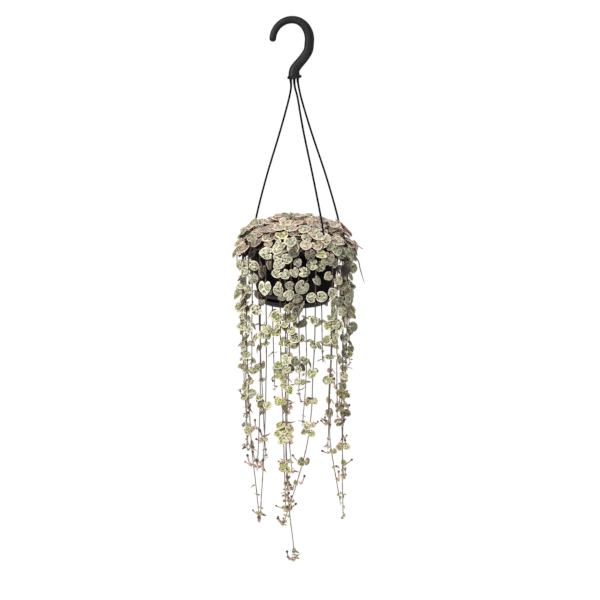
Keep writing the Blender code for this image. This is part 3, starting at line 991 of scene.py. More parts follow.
@dataclass
class Strand:
    """One of the three thin strands, which bows out and ends below its ear in a button.

    Attributes:
        name: The node that it stands for.
        collar_azimuth: Where it leaves the collar.
        rim_azimuth: Where it meets the rim.
        radius: Its radius.
        spread: The shape that all three share, as (radius from the axis, height).
        turning: The power that shares out the turn to the rim's azimuth: low if it turns early.
        button: The radius and the height of the button at its end.
        bead: How much thicker it is at the collar, as a share of its radius.
        ear_circle: The radius of the circle that the ears are on.
        ear_thickness: The thickness of an ear.
        lip_thickness: The thickness of the pot's lip.
    """

    name: str
    collar_azimuth: float
    rim_azimuth: float
    radius: float = 0.0012
    spread: tuple[tuple[float, float], ...] = (
        (0.0053, -0.074), (0.0078, -0.087), (0.0150, -0.111), (0.0228, -0.135), (0.0393, -0.1836),
        (0.0532, -0.232), (0.0568, -0.2555))
    turning: float = 0.15
    button: tuple[float, float] = (0.0023, 0.0018)
    bead: float = 0.35
    ear_circle: float = 0.0582
    ear_thickness: float = 0.0026
    lip_thickness: float = 0.0018

    def path(self, hook: Hook) -> list[Vector]:
        """Return the strand's middle line from the collar to below its ear.

        Args:
            hook: The hook that the strand hangs from.

        Returns:
            The points from the top down.
        """
        start = hook.socket_point(self.collar_azimuth)
        points = [start + Vector((0.0, 0.0, 0.0010)), start + Vector((0.0, 0.0, -0.003))]
        first, last = self.spread[0][1], self.spread[-1][1]
        for radius, z in self.spread:
            share = ((first - z) / (first - last)) ** self.turning
            azimuth = self.collar_azimuth + (self.rim_azimuth - self.collar_azimuth) * share
            points.append(on_circle(azimuth, radius, z))
        ear_top = RIM_Z + (self.ear_thickness - self.lip_thickness) / 2
        points.append(on_circle(self.rim_azimuth, self.ear_circle, ear_top + 0.0012))
        points.append(on_circle(self.rim_azimuth, self.ear_circle, ear_top - self.ear_thickness - GAP))
        return points

    def dress(self, hook: Hook, plastic: bpy.types.Material) -> tuple[np.ndarray, Faces]:
        """Build the strand and put its plastic on.

        Args:
            hook: The hook that it hangs from.
            plastic: Its finish.

        Returns:
            The points and faces of the strand, so that leaves can be kept clear of it.
        """
        points = self.path(hook)
        path = smooth_path(points[:-1], 0.003) + [points[-1]]
        radii = [self.radius * (1.0 + self.bead * math.exp(-(k / 2.2) ** 2)) for k in range(len(path))]
        button_radius, button_height = self.button
        for depth, radius in ((0.0001, 0.7), (0.08, 0.9), (0.25, 1.0), (0.70, 1.0), (0.90, 0.88), (1.0, 0.6)):
            path.append(points[-1] - UP * button_height * depth)
            radii.append(button_radius * radius)
        surface = Surface(f"{self.name}_line", [plastic], Slot.HANGER)
        mesh = tube(path, radii, 14)
        surface.add(*mesh)
        surface.build([self.name])
        return mesh


# ---- pot, saucer and soil ----


@dataclass
class Pot:
    """The nursery pot: a flat lip with three ears, a tapering wall, a rounded foot and drain holes.

    Attributes:
        wall: The thickness of the wall.
        outer: The wall's outer side as (radius, depth below the rim).
        ear_circle: The radius of the circle that the ears are on.
        ear_radius: The radius of an ear.
        sides: The number of steps round the axis.
    """

    wall: float = 0.0012
    outer: tuple[tuple[float, float], ...] = (
        (0.0556, 0.0022), (0.0544, 0.0120), (0.0486, 0.0500), (0.0473, 0.0555), (0.0446, 0.0602),
        (0.0410, 0.0640), (0.0382, 0.0665), (0.0362, 0.0682))
    ear_circle: float = 0.0582
    ear_radius: float = 0.0034
    sides: int = 120

    def curve(self) -> list[tuple[float, float]]:
        """Return the outer side as a smooth line of (radius, depth)."""
        path = smooth_path([Vector((r, d, 0.0)) for r, d in self.outer[2:]], 0.0012)
        return [self.outer[0], (0.0551, 0.0062), self.outer[1], (0.0514, 0.0320)] + [(p.x, p.y) for p in path]

    def inner(self) -> list[tuple[float, float]]:
        """Return the inner side from the rim down to the floor.

        Returns:
            The radius and the depth below the rim of each point.
        """
        curve = self.curve()
        foot_radius, foot_depth = curve[-1]
        return [(r - self.wall, d - 0.4 * self.wall) for r, d in curve[:-1]] + [(foot_radius - self.wall,
                                                                                foot_depth - self.wall)]

    def dress(self, plastic: bpy.types.Material) -> list[tuple[np.ndarray, Faces]]:
        """Build the pot and put its plastic on.

        Args:
            plastic: Its finish.

        Returns:
            The meshes that leaves are kept clear of.
        """
        floor = self.outer[-1][1]
        lip = [(RIM_RADIUS - 0.0010, 0.0), (RIM_RADIUS - 0.0003, 0.0002), (RIM_RADIUS, 0.0007),
               (RIM_RADIUS, 0.0014), (RIM_RADIUS - 0.0003, 0.0018), (0.0566, 0.0018), (0.0558, 0.0019)]
        inner = self.inner()
        outline = [*lip, *self.curve(), (0.0300, floor), (0.0290, floor - 0.0004), (0.0048, floor - 0.0004),
                   (0.0048, floor - self.wall), *reversed(inner[1:]), (inner[0][0], 0.0004),
                   (inner[0][0] + 0.0004, 0.0)]
        wall = turned([(r, RIM_Z - d) for r, d in outline], self.sides)
        surface = Surface("pot_shell", [plastic], Slot.POT)
        surface.add(*wall)
        meshes = [wall]
        for _, azimuth in STRAND_AZIMUTHS.values():
            top, bottom = 0.0004, -0.0022
            ring = [(0.0, top), (self.ear_radius - 0.0004, top), (self.ear_radius, top - 0.0004),
                    (self.ear_radius, bottom + 0.0004), (self.ear_radius - 0.0004, bottom), (0.0, bottom)]
            points, faces = turned(ring, 28)
            points = points + np.array(on_circle(azimuth, self.ear_circle, RIM_Z))
            surface.add(points, faces)
            meshes.append((points, faces))
        sharpen(surface.build(["pot"]), 45)
        return meshes


@dataclass
class Saucer:
    """The drip saucer, which clips on under the pot.

    Attributes:
        radius: The radius of its rim.
        rim_depth: How far its rim is below the pot's.
        foot_radius: The radius of its foot.
        bottom_depth: How far its foot is below the pot's rim.
        wall: The thickness of its wall.
    """

    radius: float = 0.0438
    rim_depth: float = 0.0640
    foot_radius: float = 0.0392
    bottom_depth: float = 0.0718
    wall: float = 0.0012

    def dress(self, plastic: bpy.types.Material) -> tuple[np.ndarray, Faces]:
        """Build the saucer and put its plastic on.

        Args:
            plastic: Its finish.

        Returns:
            The saucer's mesh, so that leaves can be kept clear of it.
        """
        r, rim, foot = self.radius, self.rim_depth, self.foot_radius
        bottom, wall = self.bottom_depth, self.wall
        outline = [
            (0.0, rim + 0.0006), (0.0045, rim + 0.0006), (0.0045, bottom - wall),
            (foot - wall, bottom - wall), (r - 0.0034, rim + 0.0048), (r - 0.0030, rim + 0.0035),
            (r - 0.0022, rim + 0.0016), (r - 0.0017, rim + 0.0005), (r - 0.0013, rim + 0.0001),
            (r - 0.0006, rim), (r - 0.0002, rim + 0.0002), (r, rim + 0.0006), (r - 0.0001, rim + 0.0011),
            (r - 0.0005, rim + 0.0017), (r - 0.0012, rim + 0.0024), (r - 0.0018, rim + 0.0048),
            (foot + 0.0010, bottom - 0.0012), (foot + 0.0003, bottom - 0.0003), (foot - 0.0006, bottom),
            (foot - 0.0060, bottom), (foot - 0.0064, bottom - 0.0003), (0.0, bottom - 0.0003),
        ]
        mesh = turned([(radius, RIM_Z - depth) for radius, depth in outline], 120)
        surface = Surface("saucer_tray", [plastic], Slot.POT)
        surface.add(*mesh)
        sharpen(surface.build(["saucer"]), 40)
        return mesh


@dataclass
class Soil:
    """The potting mix: a rough crust with crumbs of bark and grains of perlite on it.

    Attributes:
        crumbs: The number of crumbs.
        grains: The number of perlite grains.
        seed: The seed of their places.
    """

    crumbs: int = 420
    grains: int = 60
    seed: int = 5

    def top_z(self, radius: float) -> float:
        """Return the height of the soil's surface at a radius.

        Args:
            radius: The distance from the pot's axis.

        Returns:
            The height.
        """
        profile = ((0.0, -0.0010), (0.025, -0.0003), (0.045, 0.0018), (0.0544, 0.0035))
        for (r0, d0), (r1, d1) in zip(profile, profile[1:]):
            if radius <= r1:
                return RIM_Z - (d0 + (d1 - d0) * (radius - r0) / (r1 - r0))
        return RIM_Z - profile[-1][1]

    def crust(self, pot: Pot) -> tuple[np.ndarray, Faces]:
        """Return the body of the soil, with a lumpy top.

        Args:
            pot: The pot that the soil fills.

        Returns:
            The points and the faces.
        """
        rings = [(0.0, self.top_z(0.0))]
        rings += [(radius, self.top_z(radius)) for radius in np.linspace(0.0022, 0.0530, 24)]
        sides = [(r - 2 * GAP, RIM_Z - d) for r, d in pot.inner() if d > 0.0045]
        points, faces = turned([*rings, *sides, (0.0, sides[-1][1])], 96)
        for point in points:
            if point[2] > RIM_Z - 0.0042:
                point[2] += 0.0011 * noise.fractal(Vector(point) * 190, 1.0, 2.2, 4) - 0.0002
        return points, faces

    def crumb(self, rng: random.Random, size: float) -> tuple[np.ndarray, Faces]:
        """Return one crumb on the soil's surface.

        Args:
            rng: The source of random numbers.
            size: The crumb's radius.

        Returns:
            The points and the faces.
        """
        radius = 0.0515 * math.sqrt(rng.random())
        place = on_circle(rng.uniform(0, 360), radius, self.top_z(radius) + 0.25 * size)
        profile = [(0.0, 1.0), (0.62, 0.74), (1.0, 0.08), (0.75, -0.62), (0.0, -1.0)]
        points, faces = turned([(r * size, z * size * rng.uniform(0.5, 0.9)) for r, z in profile], 7)
        turn = Matrix.Rotation(rng.uniform(0, 6.3), 3, Vector((rng.random(), rng.random(), rng.random())))
        jitter = np.array([[rng.uniform(0.75, 1.2) for _ in range(3)] for _ in points])
        return points * jitter @ np.array(turn) + np.array(place), faces

    def dress(self, pot: Pot, mix: bpy.types.Material,
              perlite: bpy.types.Material) -> tuple[np.ndarray, Faces]:
        """Build the soil and put its finishes on.

        Args:
            pot: The pot that it fills.
            mix: The finish of the peat.
            perlite: The finish of the white grains.

        Returns:
            The crust's mesh, so that leaves can be kept clear of it.
        """
        rng = random.Random(self.seed)
        crust = self.crust(pot)
        surface = Surface("soil_crust", [mix], Slot.SOIL)
        surface.add(*crust)
        surface.build(["soil"])
        crumbs = Surface("soil_crumbs", [mix, perlite], Slot.SOIL)
        for count, finish, sizes in ((self.crumbs, 0, (0.0006, 0.0017)), (self.grains, 1, (0.0006, 0.0013))):
            for _ in range(count):
                points, faces = self.crumb(rng, rng.uniform(*sizes))
                crumbs.add(points, faces, slots=[finish] * len(faces))
        crumbs.build()
        return crust


# ---- leaves ----


class Outline(Enum):
    """The outlines of leaves: how long the tip is, how full the lobes are and how far round they reach."""

    HEART = (0.080, 0.16, 154)
    ROUND = (0.012, 0.11, 164)
    KIDNEY = (0.030, 0.25, 147)


class Detail(Enum):
    """How finely blades are divided, as spokes and shares of the way out. Only TEST is tested for room."""

    FINE = (36, (0.32, 0.60, 0.80, 0.93, 1.0))
    PLAIN = (24, (0.40, 0.72, 0.90, 1.0))
    SMALL = (14, (0.50, 0.88, 1.0))
    TEST = (9, (0.55, 1.0))


class Blade:
    """A leaf blade one unit wide, with the stalk's end at the origin and the tip along +X."""

    THICKNESS = 0.040

    def __init__(self, detail: Detail, outline: Outline) -> None:
        """Lay out a fan of points for the upper side and one for the underside, which share the outline.

        Args:
            detail: How finely it is divided.
            outline: Which outline it has.
        """
        spokes, rings = detail.value
        half_angle = outline.value[2]
        angles = np.radians(np.linspace(-half_angle, half_angle, spokes + 1))
        reach = self.reach(angles, outline)
        rim = np.stack([reach * np.cos(angles), reach * np.sin(angles)], 1)
        grid = np.concatenate([[[0.0, 0.0]]] + [rim * share for share in rings])
        columns, last = spokes + 1, len(rings) - 1
        shared = [0] + [1 + r * columns + s for r in range(len(rings)) for s in range(columns)
                        if r == last or s in (0, spokes)]
        inner = [k for k in range(len(grid)) if k not in set(shared)]
        below = {k: k for k in shared} | {k: len(grid) + n for n, k in enumerate(inner)}
        self.plane = np.concatenate([grid, grid[inner]])
        self.edge = self.edge_distance(self.plane, np.concatenate([[[0.0, 0.0]], rim]))
        self.side = np.concatenate([np.ones(len(grid)), -np.ones(len(inner))])
        top = [(0, 1 + s, 2 + s) for s in range(spokes)]
        for r in range(last):
            for s in range(spokes):
                a, b = 1 + r * columns + s, 1 + (r + 1) * columns + s
                top.append((a, b, b + 1, a + 1))
        bottom = [tuple(below[k] for k in reversed(face)) for face in top]
        self.faces: Faces = top + bottom
        self.slots = [0] * len(top) + [1] * len(bottom)

    @staticmethod
    def reach(angles: np.ndarray, outline: Outline) -> np.ndarray:
        """Return how far the outline is from the stalk's end at each angle from the tip.

        Args:
            angles: The angles from the tip, in radians.
            outline: The leaf's outline.

        Returns:
            The distances, as shares of the leaf's width.
        """
        offset, radius = LEAF_MIDDLE, 0.5
        tip_length, fullness, half_angle = outline.value
        away = np.abs(np.degrees(angles))
        disc = offset * np.cos(angles) + np.sqrt(radius**2 - (offset * np.sin(angles)) ** 2)
        lobes = 1 + fullness * np.exp(-((away - 130) / 24) ** 2)
        flanks = 1 - 0.6 * tip_length * np.exp(-((away - 34) / 17) ** 2)
        tip = 1 + tip_length * np.exp(-(away / 12) ** 2)
        corner = np.clip((half_angle - away) / 30, 0, 1)
        return disc * lobes * flanks * tip * (0.40 + 0.60 * np.sqrt(1 - (1 - corner) ** 2))

    @staticmethod
    def edge_distance(points: np.ndarray, rim: np.ndarray) -> np.ndarray:
        """Return how far each point is from a closed outline.

        Args:
            points: The points.
            rim: The points of the outline, in order.

        Returns:
            One distance for each point.
        """
        start, end = rim, np.roll(rim, -1, axis=0)
        span = end - start
        away = points[:, None] - start[None]
        share = np.clip((away * span).sum(2) / (span**2).sum(1), 0, 1)
        return np.linalg.norm(away - share[..., None] * span, axis=2).min(1)

    def shape(self, pose: "LeafPose", swell: float = 0.0) -> np.ndarray:
        """Return the blade's points in one pose.

        Args:
            pose: Where the leaf is, which way it faces and how it bends.
            swell: Extra thickness on each side, in metres.

        Returns:
            The points.
        """
        x = self.plane[:, 0] * pose.stretch
        y = self.plane[:, 1] * (1 - pose.taper * np.clip(x, 0, 1))
        round_off = np.sqrt(1 - (1 - np.clip(self.edge / 0.045, 0, 1)) ** 2)
        half = self.THICKNESS * round_off * (0.62 + 0.38 * np.clip(self.edge / 0.3, 0, 1))
        groove = 0.010 * np.exp(-(y / 0.035) ** 2) * np.clip(x * 2, 0, 1)
        half = half - np.where(self.side > 0, groove * round_off, 0.0) + swell / pose.width * round_off
        lift = pose.cup * ((x - 0.3) ** 2 + y**2) + pose.fold * np.abs(y)
        lift = lift - pose.droop * np.clip(x, 0, None) ** 2
        lift = lift + pose.twist * x * y + pose.wave * np.sin(5.0 * y + pose.seed * 40) * self.plane_radius()
        z = lift + self.side * half
        across = pose.face.cross(pose.along)
        frame_rows = np.array([pose.along, across, pose.face]) * pose.width
        return np.array(pose.apex) + np.stack([x, y, z], 1) @ frame_rows

    def plane_radius(self) -> np.ndarray:
        """Return how far each point is from the stalk's end in the blade's own plane."""
        return np.hypot(self.plane[:, 0], self.plane[:, 1])


@dataclass
class LeafPose:
    """Where one leaf is, which way it points and faces, how it bends and how it is coloured.

    Attributes:
        apex: Where the stalk meets the blade.
        along: The direction of the tip.
        face: The way the upper side looks.
        width: The leaf's width.
        root: Where the stalk leaves the stem.
        cup: How far the margin rises.
        fold: How far it folds along its midrib.
        droop: How far its tip bends back.
        twist: How far it twists.
        wave: How wavy it is.
        stretch: How long it is for its width.
        taper: How much it narrows to its tip.
        pink: How pink its margin is.
        tone: How bright it is, as its own random tone together with painted shade.
        fresh: How yellow-green it is.
        seed: Which pattern of blotches it has.
        outline: Which outline it has.
    """

    apex: Vector
    along: Vector
    face: Vector
    width: float
    root: Vector
    cup: float = 0.0
    fold: float = 0.0
    droop: float = 0.0
    twist: float = 0.0
    wave: float = 0.0
    stretch: float = 1.0
    taper: float = 0.0
    pink: float = 0.3
    tone: float = 1.0
    fresh: float = 0.0
    seed: float = 0.0
    outline: Outline = Outline.HEART


class Room:
    """The space that is taken, tested with coarse leaves against each other, stems, strands and the pot."""

    CELL = 0.012

    def __init__(self) -> None:
        """Start with nothing taken."""
        self.fixed: list[BVHTree] = []
        self.leaves: list[BVHTree] = []
        self.cells: dict[tuple[int, int, int], list[int]] = {}

    def cells_of(self, points: np.ndarray) -> list[tuple[int, int, int]]:
        """Return the cells that a mesh's box reaches into.

        Args:
            points: The mesh's points.

        Returns:
            The cells.
        """
        low = np.floor(points.min(0) / self.CELL).astype(int)
        high = np.floor(points.max(0) / self.CELL).astype(int)
        spans = [range(a, b + 1) for a, b in zip(low, high)]
        return [(i, j, k) for i in spans[0] for j in spans[1] for k in spans[2]]

    def keep_clear_of(self, points: np.ndarray, faces: Faces) -> None:
        """Count a fixed mesh as taken."""
        self.fixed.append(BVHTree.FromPolygons(points.tolist(), faces))

    def is_free(self, points: np.ndarray, faces: Faces) -> bool:
        """Say whether a mesh meets nothing that is there.

        Args:
            points: The mesh's points.
            faces: The mesh's faces.

        Returns:
            Whether it meets nothing.
        """
        tree = BVHTree.FromPolygons(points.tolist(), faces)
        near = {index for cell in self.cells_of(points) for index in self.cells.get(cell, ())}
        if any(tree.overlap(self.leaves[index]) for index in near):
            return False
        return not any(tree.overlap(other) for other in self.fixed)

    def take(self, points: np.ndarray, faces: Faces) -> None:
        """Count a leaf as there.

        Args:
            points: The leaf's points.
            faces: The leaf's faces.
        """
        for cell in self.cells_of(points):
            self.cells.setdefault(cell, []).append(len(self.leaves))
        self.leaves.append(BVHTree.FromPolygons(points.tolist(), faces))


# ---- vines ----


class Habit(Enum):
    """How a trailing vine carries its leaves."""

    FULL = 0.021
    USUAL = 0.026
    SPARSE = 0.036


@dataclass(frozen=True)
class Tuft:
    """A joint far down a vine, which bears what the bare lengths above and below it lack.

    Attributes:
        z: Its height.
        leaves: How many leaves it bears.
        size: The width of its largest leaf.
        spears: How many narrow young leaves it bears.
        flowers: How many flowers it bears.
    """

    z: float
    leaves: int = 2
    size: float = 0.0060
    spears: int = 0
    flowers: int = 0


@dataclass(frozen=True)
class Trail:
    """A vine that hangs over the rim.

    Attributes:
        azimuth: Where it crosses the rim.
        tip_z: How low it ends.
        sway_x: How far it sways sideways at a third, two thirds and all of its length.
        sway_y: How far its tip is moved to the back.
        habit: How it carries its leaves.
        fresh: How yellow-green its leaves are.
        pairs: The heights of its upper pairs of leaves, where they are known.
        tufts: Its lower joints, where they are known.
    """

    azimuth: float
    tip_z: float
    sway_x: tuple[float, float, float]
    sway_y: float = 0.0
    habit: Habit = Habit.USUAL
    fresh: float = 0.0
    pairs: tuple[float, ...] = ()
    tufts: tuple[Tuft, ...] = ()


@dataclass(frozen=True)
class Shoot:
    """A short shoot of the crown.

    Attributes:
        azimuth: Its direction.
        start: How far from the axis it roots.
        end: How far out it creeps.
        drop: How far it drops past the rim.
        sink: How far it runs below the others.
    """

    azimuth: float
    start: float
    end: float
    drop: float = 0.0
    sink: float = 0.0


TRAILS = (
    Trail(197, -0.524, (0.001, 0.001, 0.002), habit=Habit.FULL,
          pairs=(-0.301, -0.313, -0.326, -0.338, -0.350, -0.363, -0.386, -0.404),
          tufts=(Tuft(-0.436, 3, 0.0114, 1), Tuft(-0.452, 2, 0.0080, 0, 2), Tuft(-0.486, 3, 0.0067, 1),
                 Tuft(-0.512, 0, 0.0040, 2, 1))),
    Trail(203, -0.619, (0.001, 0.005, 0.015), habit=Habit.FULL,
          pairs=(-0.308, -0.321, -0.333, -0.347, -0.360, -0.374, -0.396),
          tufts=(Tuft(-0.414, 4, 0.0122, 1), Tuft(-0.425, 3, 0.0114, 0, 1), Tuft(-0.446, 4, 0.0121, 1),
                 Tuft(-0.461, 2, 0.0094, 2, 1), Tuft(-0.489, 2, 0.0128, 2), Tuft(-0.513, 2, 0.0101, 1, 1),
                 Tuft(-0.537, 2, 0.0050, 1, 2), Tuft(-0.566, 0, 0.0040, 1), Tuft(-0.609, 3, 0.0044, 1, 1))),
    Trail(230, -0.541, (0.0, -0.001, -0.005), habit=Habit.SPARSE,
          pairs=(-0.331, -0.366),
          tufts=(Tuft(-0.404, 3, 0.0116, 1), Tuft(-0.440, 2, 0.0114, 2), Tuft(-0.484, 0, 0.0050, 2, 1),
                 Tuft(-0.524, 2, 0.0067, 1, 2))),
    Trail(238, -0.600, (0.0, -0.003, -0.009), -0.003, Habit.SPARSE, 0.2,
          pairs=(-0.352, -0.360),
          tufts=(Tuft(-0.372, 2, 0.0122), Tuft(-0.449, 3, 0.0122, 1), Tuft(-0.492, 2, 0.0067, 2, 1),
                 Tuft(-0.528, 2, 0.0065, 1, 2), Tuft(-0.566, 0, 0.0040, 1), Tuft(-0.592, 2, 0.0042, 1, 1))),
    Trail(254, -0.590, (0.001, 0.004, 0.006), 0.004, Habit.USUAL, 0.7,
          pairs=(-0.337, -0.350, -0.359, -0.397),
          tufts=(Tuft(-0.406, 4, 0.0128, 1), Tuft(-0.413, 2, 0.0121), Tuft(-0.440, 4, 0.0122, 1),
                 Tuft(-0.474, 3, 0.0128, 1), Tuft(-0.485, 3, 0.0108), Tuft(-0.523, 3, 0.0094, 1),
                 Tuft(-0.562, 4, 0.0067, 1, 1), Tuft(-0.582, 2, 0.0050, 1, 2))),
    Trail(260, -0.560, (0.0, 0.0, 0.002), 0.008, Habit.USUAL, 0.6,
          pairs=(-0.342, -0.372, -0.401),
          tufts=(Tuft(-0.416, 2, 0.0121), Tuft(-0.446, 3, 0.0121, 1, 1), Tuft(-0.470, 2, 0.0121, 1),
                 Tuft(-0.482, 3, 0.0114, 1), Tuft(-0.527, 3, 0.0094, 0, 1), Tuft(-0.548, 2, 0.0050, 1, 1))),
    Trail(266, -0.652, (-0.003, -0.006, 0.004), 0.002, Habit.FULL, 0.2,
          pairs=(-0.326, -0.340, -0.352, -0.371, -0.390, -0.403),
          tufts=(Tuft(-0.424, 3, 0.0128, 2), Tuft(-0.450, 2, 0.0094, 3), Tuft(-0.476, 4, 0.0122, 1),
                 Tuft(-0.490, 3, 0.0121), Tuft(-0.519, 4, 0.0114, 1), Tuft(-0.526, 2, 0.0094),
                 Tuft(-0.556, 2, 0.0067, 2, 1), Tuft(-0.578, 2, 0.0083, 0, 1), Tuft(-0.637, 2, 0.0044, 1),
                 Tuft(-0.647, 2, 0.0042, 2, 2))),
    Trail(274, -0.440, (0.0, 0.001, 0.0), 0.002, Habit.FULL,
          pairs=(-0.331, -0.348, -0.362, -0.389, -0.402),
          tufts=(Tuft(-0.420, 2, 0.0087, 3), Tuft(-0.432, 0, 0.0040, 1))),
    Trail(292.5, -0.604, (-0.002, -0.010, -0.040), -0.012, Habit.SPARSE, 0.1,
          pairs=(-0.341, -0.372),
          tufts=(Tuft(-0.405, 2, 0.0128), Tuft(-0.441, 2, 0.0121, 1), Tuft(-0.472, 2, 0.0108, 2, 1),
                 Tuft(-0.481, 2, 0.0128), Tuft(-0.519, 3, 0.0108, 0, 1), Tuft(-0.546, 1, 0.0080, 0, 1),
                 Tuft(-0.567, 2, 0.0050, 1, 1), Tuft(-0.596, 2, 0.0044, 1, 2))),
    Trail(313.5, -0.585, (-0.001, -0.003, 0.012), -0.002, Habit.SPARSE, 0.1,
          pairs=(-0.343, -0.353, -0.372),
          tufts=(Tuft(-0.392, 2, 0.0116), Tuft(-0.421, 2, 0.0114, 1), Tuft(-0.464, 2, 0.0108, 1),
                 Tuft(-0.475, 0, 0.0050, 2, 1), Tuft(-0.512, 2, 0.0074, 0, 1), Tuft(-0.530, 1, 0.0050, 1),
                 Tuft(-0.548, 2, 0.0065, 0, 1), Tuft(-0.570, 2, 0.0040))),
    Trail(321.5, -0.480, (0.0, 0.0, 0.001),
          pairs=(-0.335, -0.351, -0.366),
          tufts=(Tuft(-0.391, 3, 0.0128), Tuft(-0.429, 1, 0.0067, 1, 1), Tuft(-0.455, 2, 0.0080, 1, 1),
                 Tuft(-0.474, 2, 0.0044, 1, 1))),
    Trail(335, -0.560, (0.0, -0.001, 0.002), habit=Habit.FULL,
          pairs=(-0.326, -0.341, -0.352, -0.371, -0.389),
          tufts=(Tuft(-0.395, 3, 0.0128), Tuft(-0.419, 3, 0.0116, 2), Tuft(-0.432, 2, 0.0121),
                 Tuft(-0.460, 3, 0.0116, 1, 1), Tuft(-0.484, 1, 0.0080, 1, 2),
                 Tuft(-0.513, 3, 0.0114, 0, 1), Tuft(-0.551, 2, 0.0050, 1, 1))),
    Trail(349, -0.617, (0.0, -0.004, -0.003), habit=Habit.FULL, fresh=0.3,
          pairs=(-0.316, -0.333, -0.347, -0.364, -0.381, -0.398),
          tufts=(Tuft(-0.413, 2, 0.0108, 1), Tuft(-0.448, 3, 0.0114, 1), Tuft(-0.473, 3, 0.0122, 0, 1),
                 Tuft(-0.506, 2, 0.0067, 1, 1), Tuft(-0.541, 2, 0.0080, 0, 1), Tuft(-0.560, 2, 0.0046),
                 Tuft(-0.584, 2, 0.0046, 1), Tuft(-0.610, 1, 0.0040, 1))),
    Trail(6, -0.420, (0.001, 0.003, 0.004)),
    Trail(25, -0.455, (0.001, 0.002, 0.002)),
    Trail(42, -0.545, (0.0, -0.003, -0.006),
          tufts=(Tuft(-0.440, 2, 0.0108), Tuft(-0.476, 2, 0.0094, 1), Tuft(-0.508, 0, 0.0050, 1, 2),
                 Tuft(-0.537, 2, 0.0044, 1))),
    Trail(60, -0.430, (0.001, 0.002, 0.003), fresh=0.4),
    Trail(79, -0.520, (0.001, 0.002, -0.003),
          tufts=(Tuft(-0.442, 2, 0.0108, 1), Tuft(-0.481, 2, 0.0080, 0, 1), Tuft(-0.512, 2, 0.0046, 1))),
    Trail(98, -0.585, (-0.001, -0.003, 0.005), -0.004,
          tufts=(Tuft(-0.452, 3, 0.0108), Tuft(-0.496, 2, 0.0087, 1, 1), Tuft(-0.541, 1, 0.0067, 1, 2),
                 Tuft(-0.577, 2, 0.0044, 1))),
    Trail(117, -0.470, (0.0, 0.001, 0.003)),
    Trail(136, -0.560, (0.001, 0.004, 0.008), fresh=0.5,
          tufts=(Tuft(-0.446, 2, 0.0108), Tuft(-0.489, 3, 0.0087, 1, 1), Tuft(-0.528, 0, 0.0050, 2, 1),
                 Tuft(-0.552, 2, 0.0044, 1))),
    Trail(147, -0.440, (0.0, -0.001, -0.002)),
    Trail(177, -0.490, (-0.001, 0.0, 0.003),
          tufts=(Tuft(-0.447, 2, 0.0108), Tuft(-0.480, 2, 0.0050, 1, 1))),
)
SHOOTS = (
    Shoot(20, 0.008, 0.040), Shoot(95, 0.013, 0.044), Shoot(165, 0.009, 0.041), Shoot(238, 0.012, 0.043),
    Shoot(310, 0.012, 0.040), Shoot(355, 0.026, 0.071, 0.016), Shoot(35, 0.030, 0.069, 0.030),
    Shoot(69, 0.027, 0.070, 0.022), Shoot(107, 0.031, 0.069, 0.034), Shoot(142, 0.027, 0.070, 0.018),
    Shoot(184, 0.029, 0.071, 0.026), Shoot(216, 0.027, 0.069, 0.030), Shoot(246, 0.032, 0.068, 0.026),
    Shoot(283, 0.031, 0.069, 0.034), Shoot(300, 0.024, 0.070, 0.018), Shoot(329, 0.031, 0.070, 0.028),
)


@dataclass(frozen=True)
class FrontLeaf:
    """A leaf of the curtain that hangs in front of the pot.

    Attributes:
        x: How far to the right of the pot's axis it is.
        z: Its height.
        width: Its width.
        heading: Which way its tip points, in degrees from straight down, to the right if positive.
        pitch: How far it looks up, in degrees.
        roll: How far it turns about its own midrib, in degrees.
        pink: How pink its margin is.
        tone: How bright it is, as its own tone together with painted shade where it hangs in shade.
        fresh: How yellow-green it is.
        back: How far behind the curtain it sits.
    """

    x: float
    z: float
    width: float
    heading: float = 0.0
    pitch: float = 8.0
    roll: float = 0.0
    pink: float = 0.3
    tone: float = 0.85
    fresh: float = 0.0
    back: float = 0.0


@dataclass(frozen=True)
class Swelling:
    """A place where the mound stands higher than its even shape.

    Attributes:
        x: Where it is.
        y: Where it is.
        height: How much higher the mound is there.
        spread: How far from its middle it has died down to about a third.
    """

    x: float
    y: float
    height: float
    spread: float
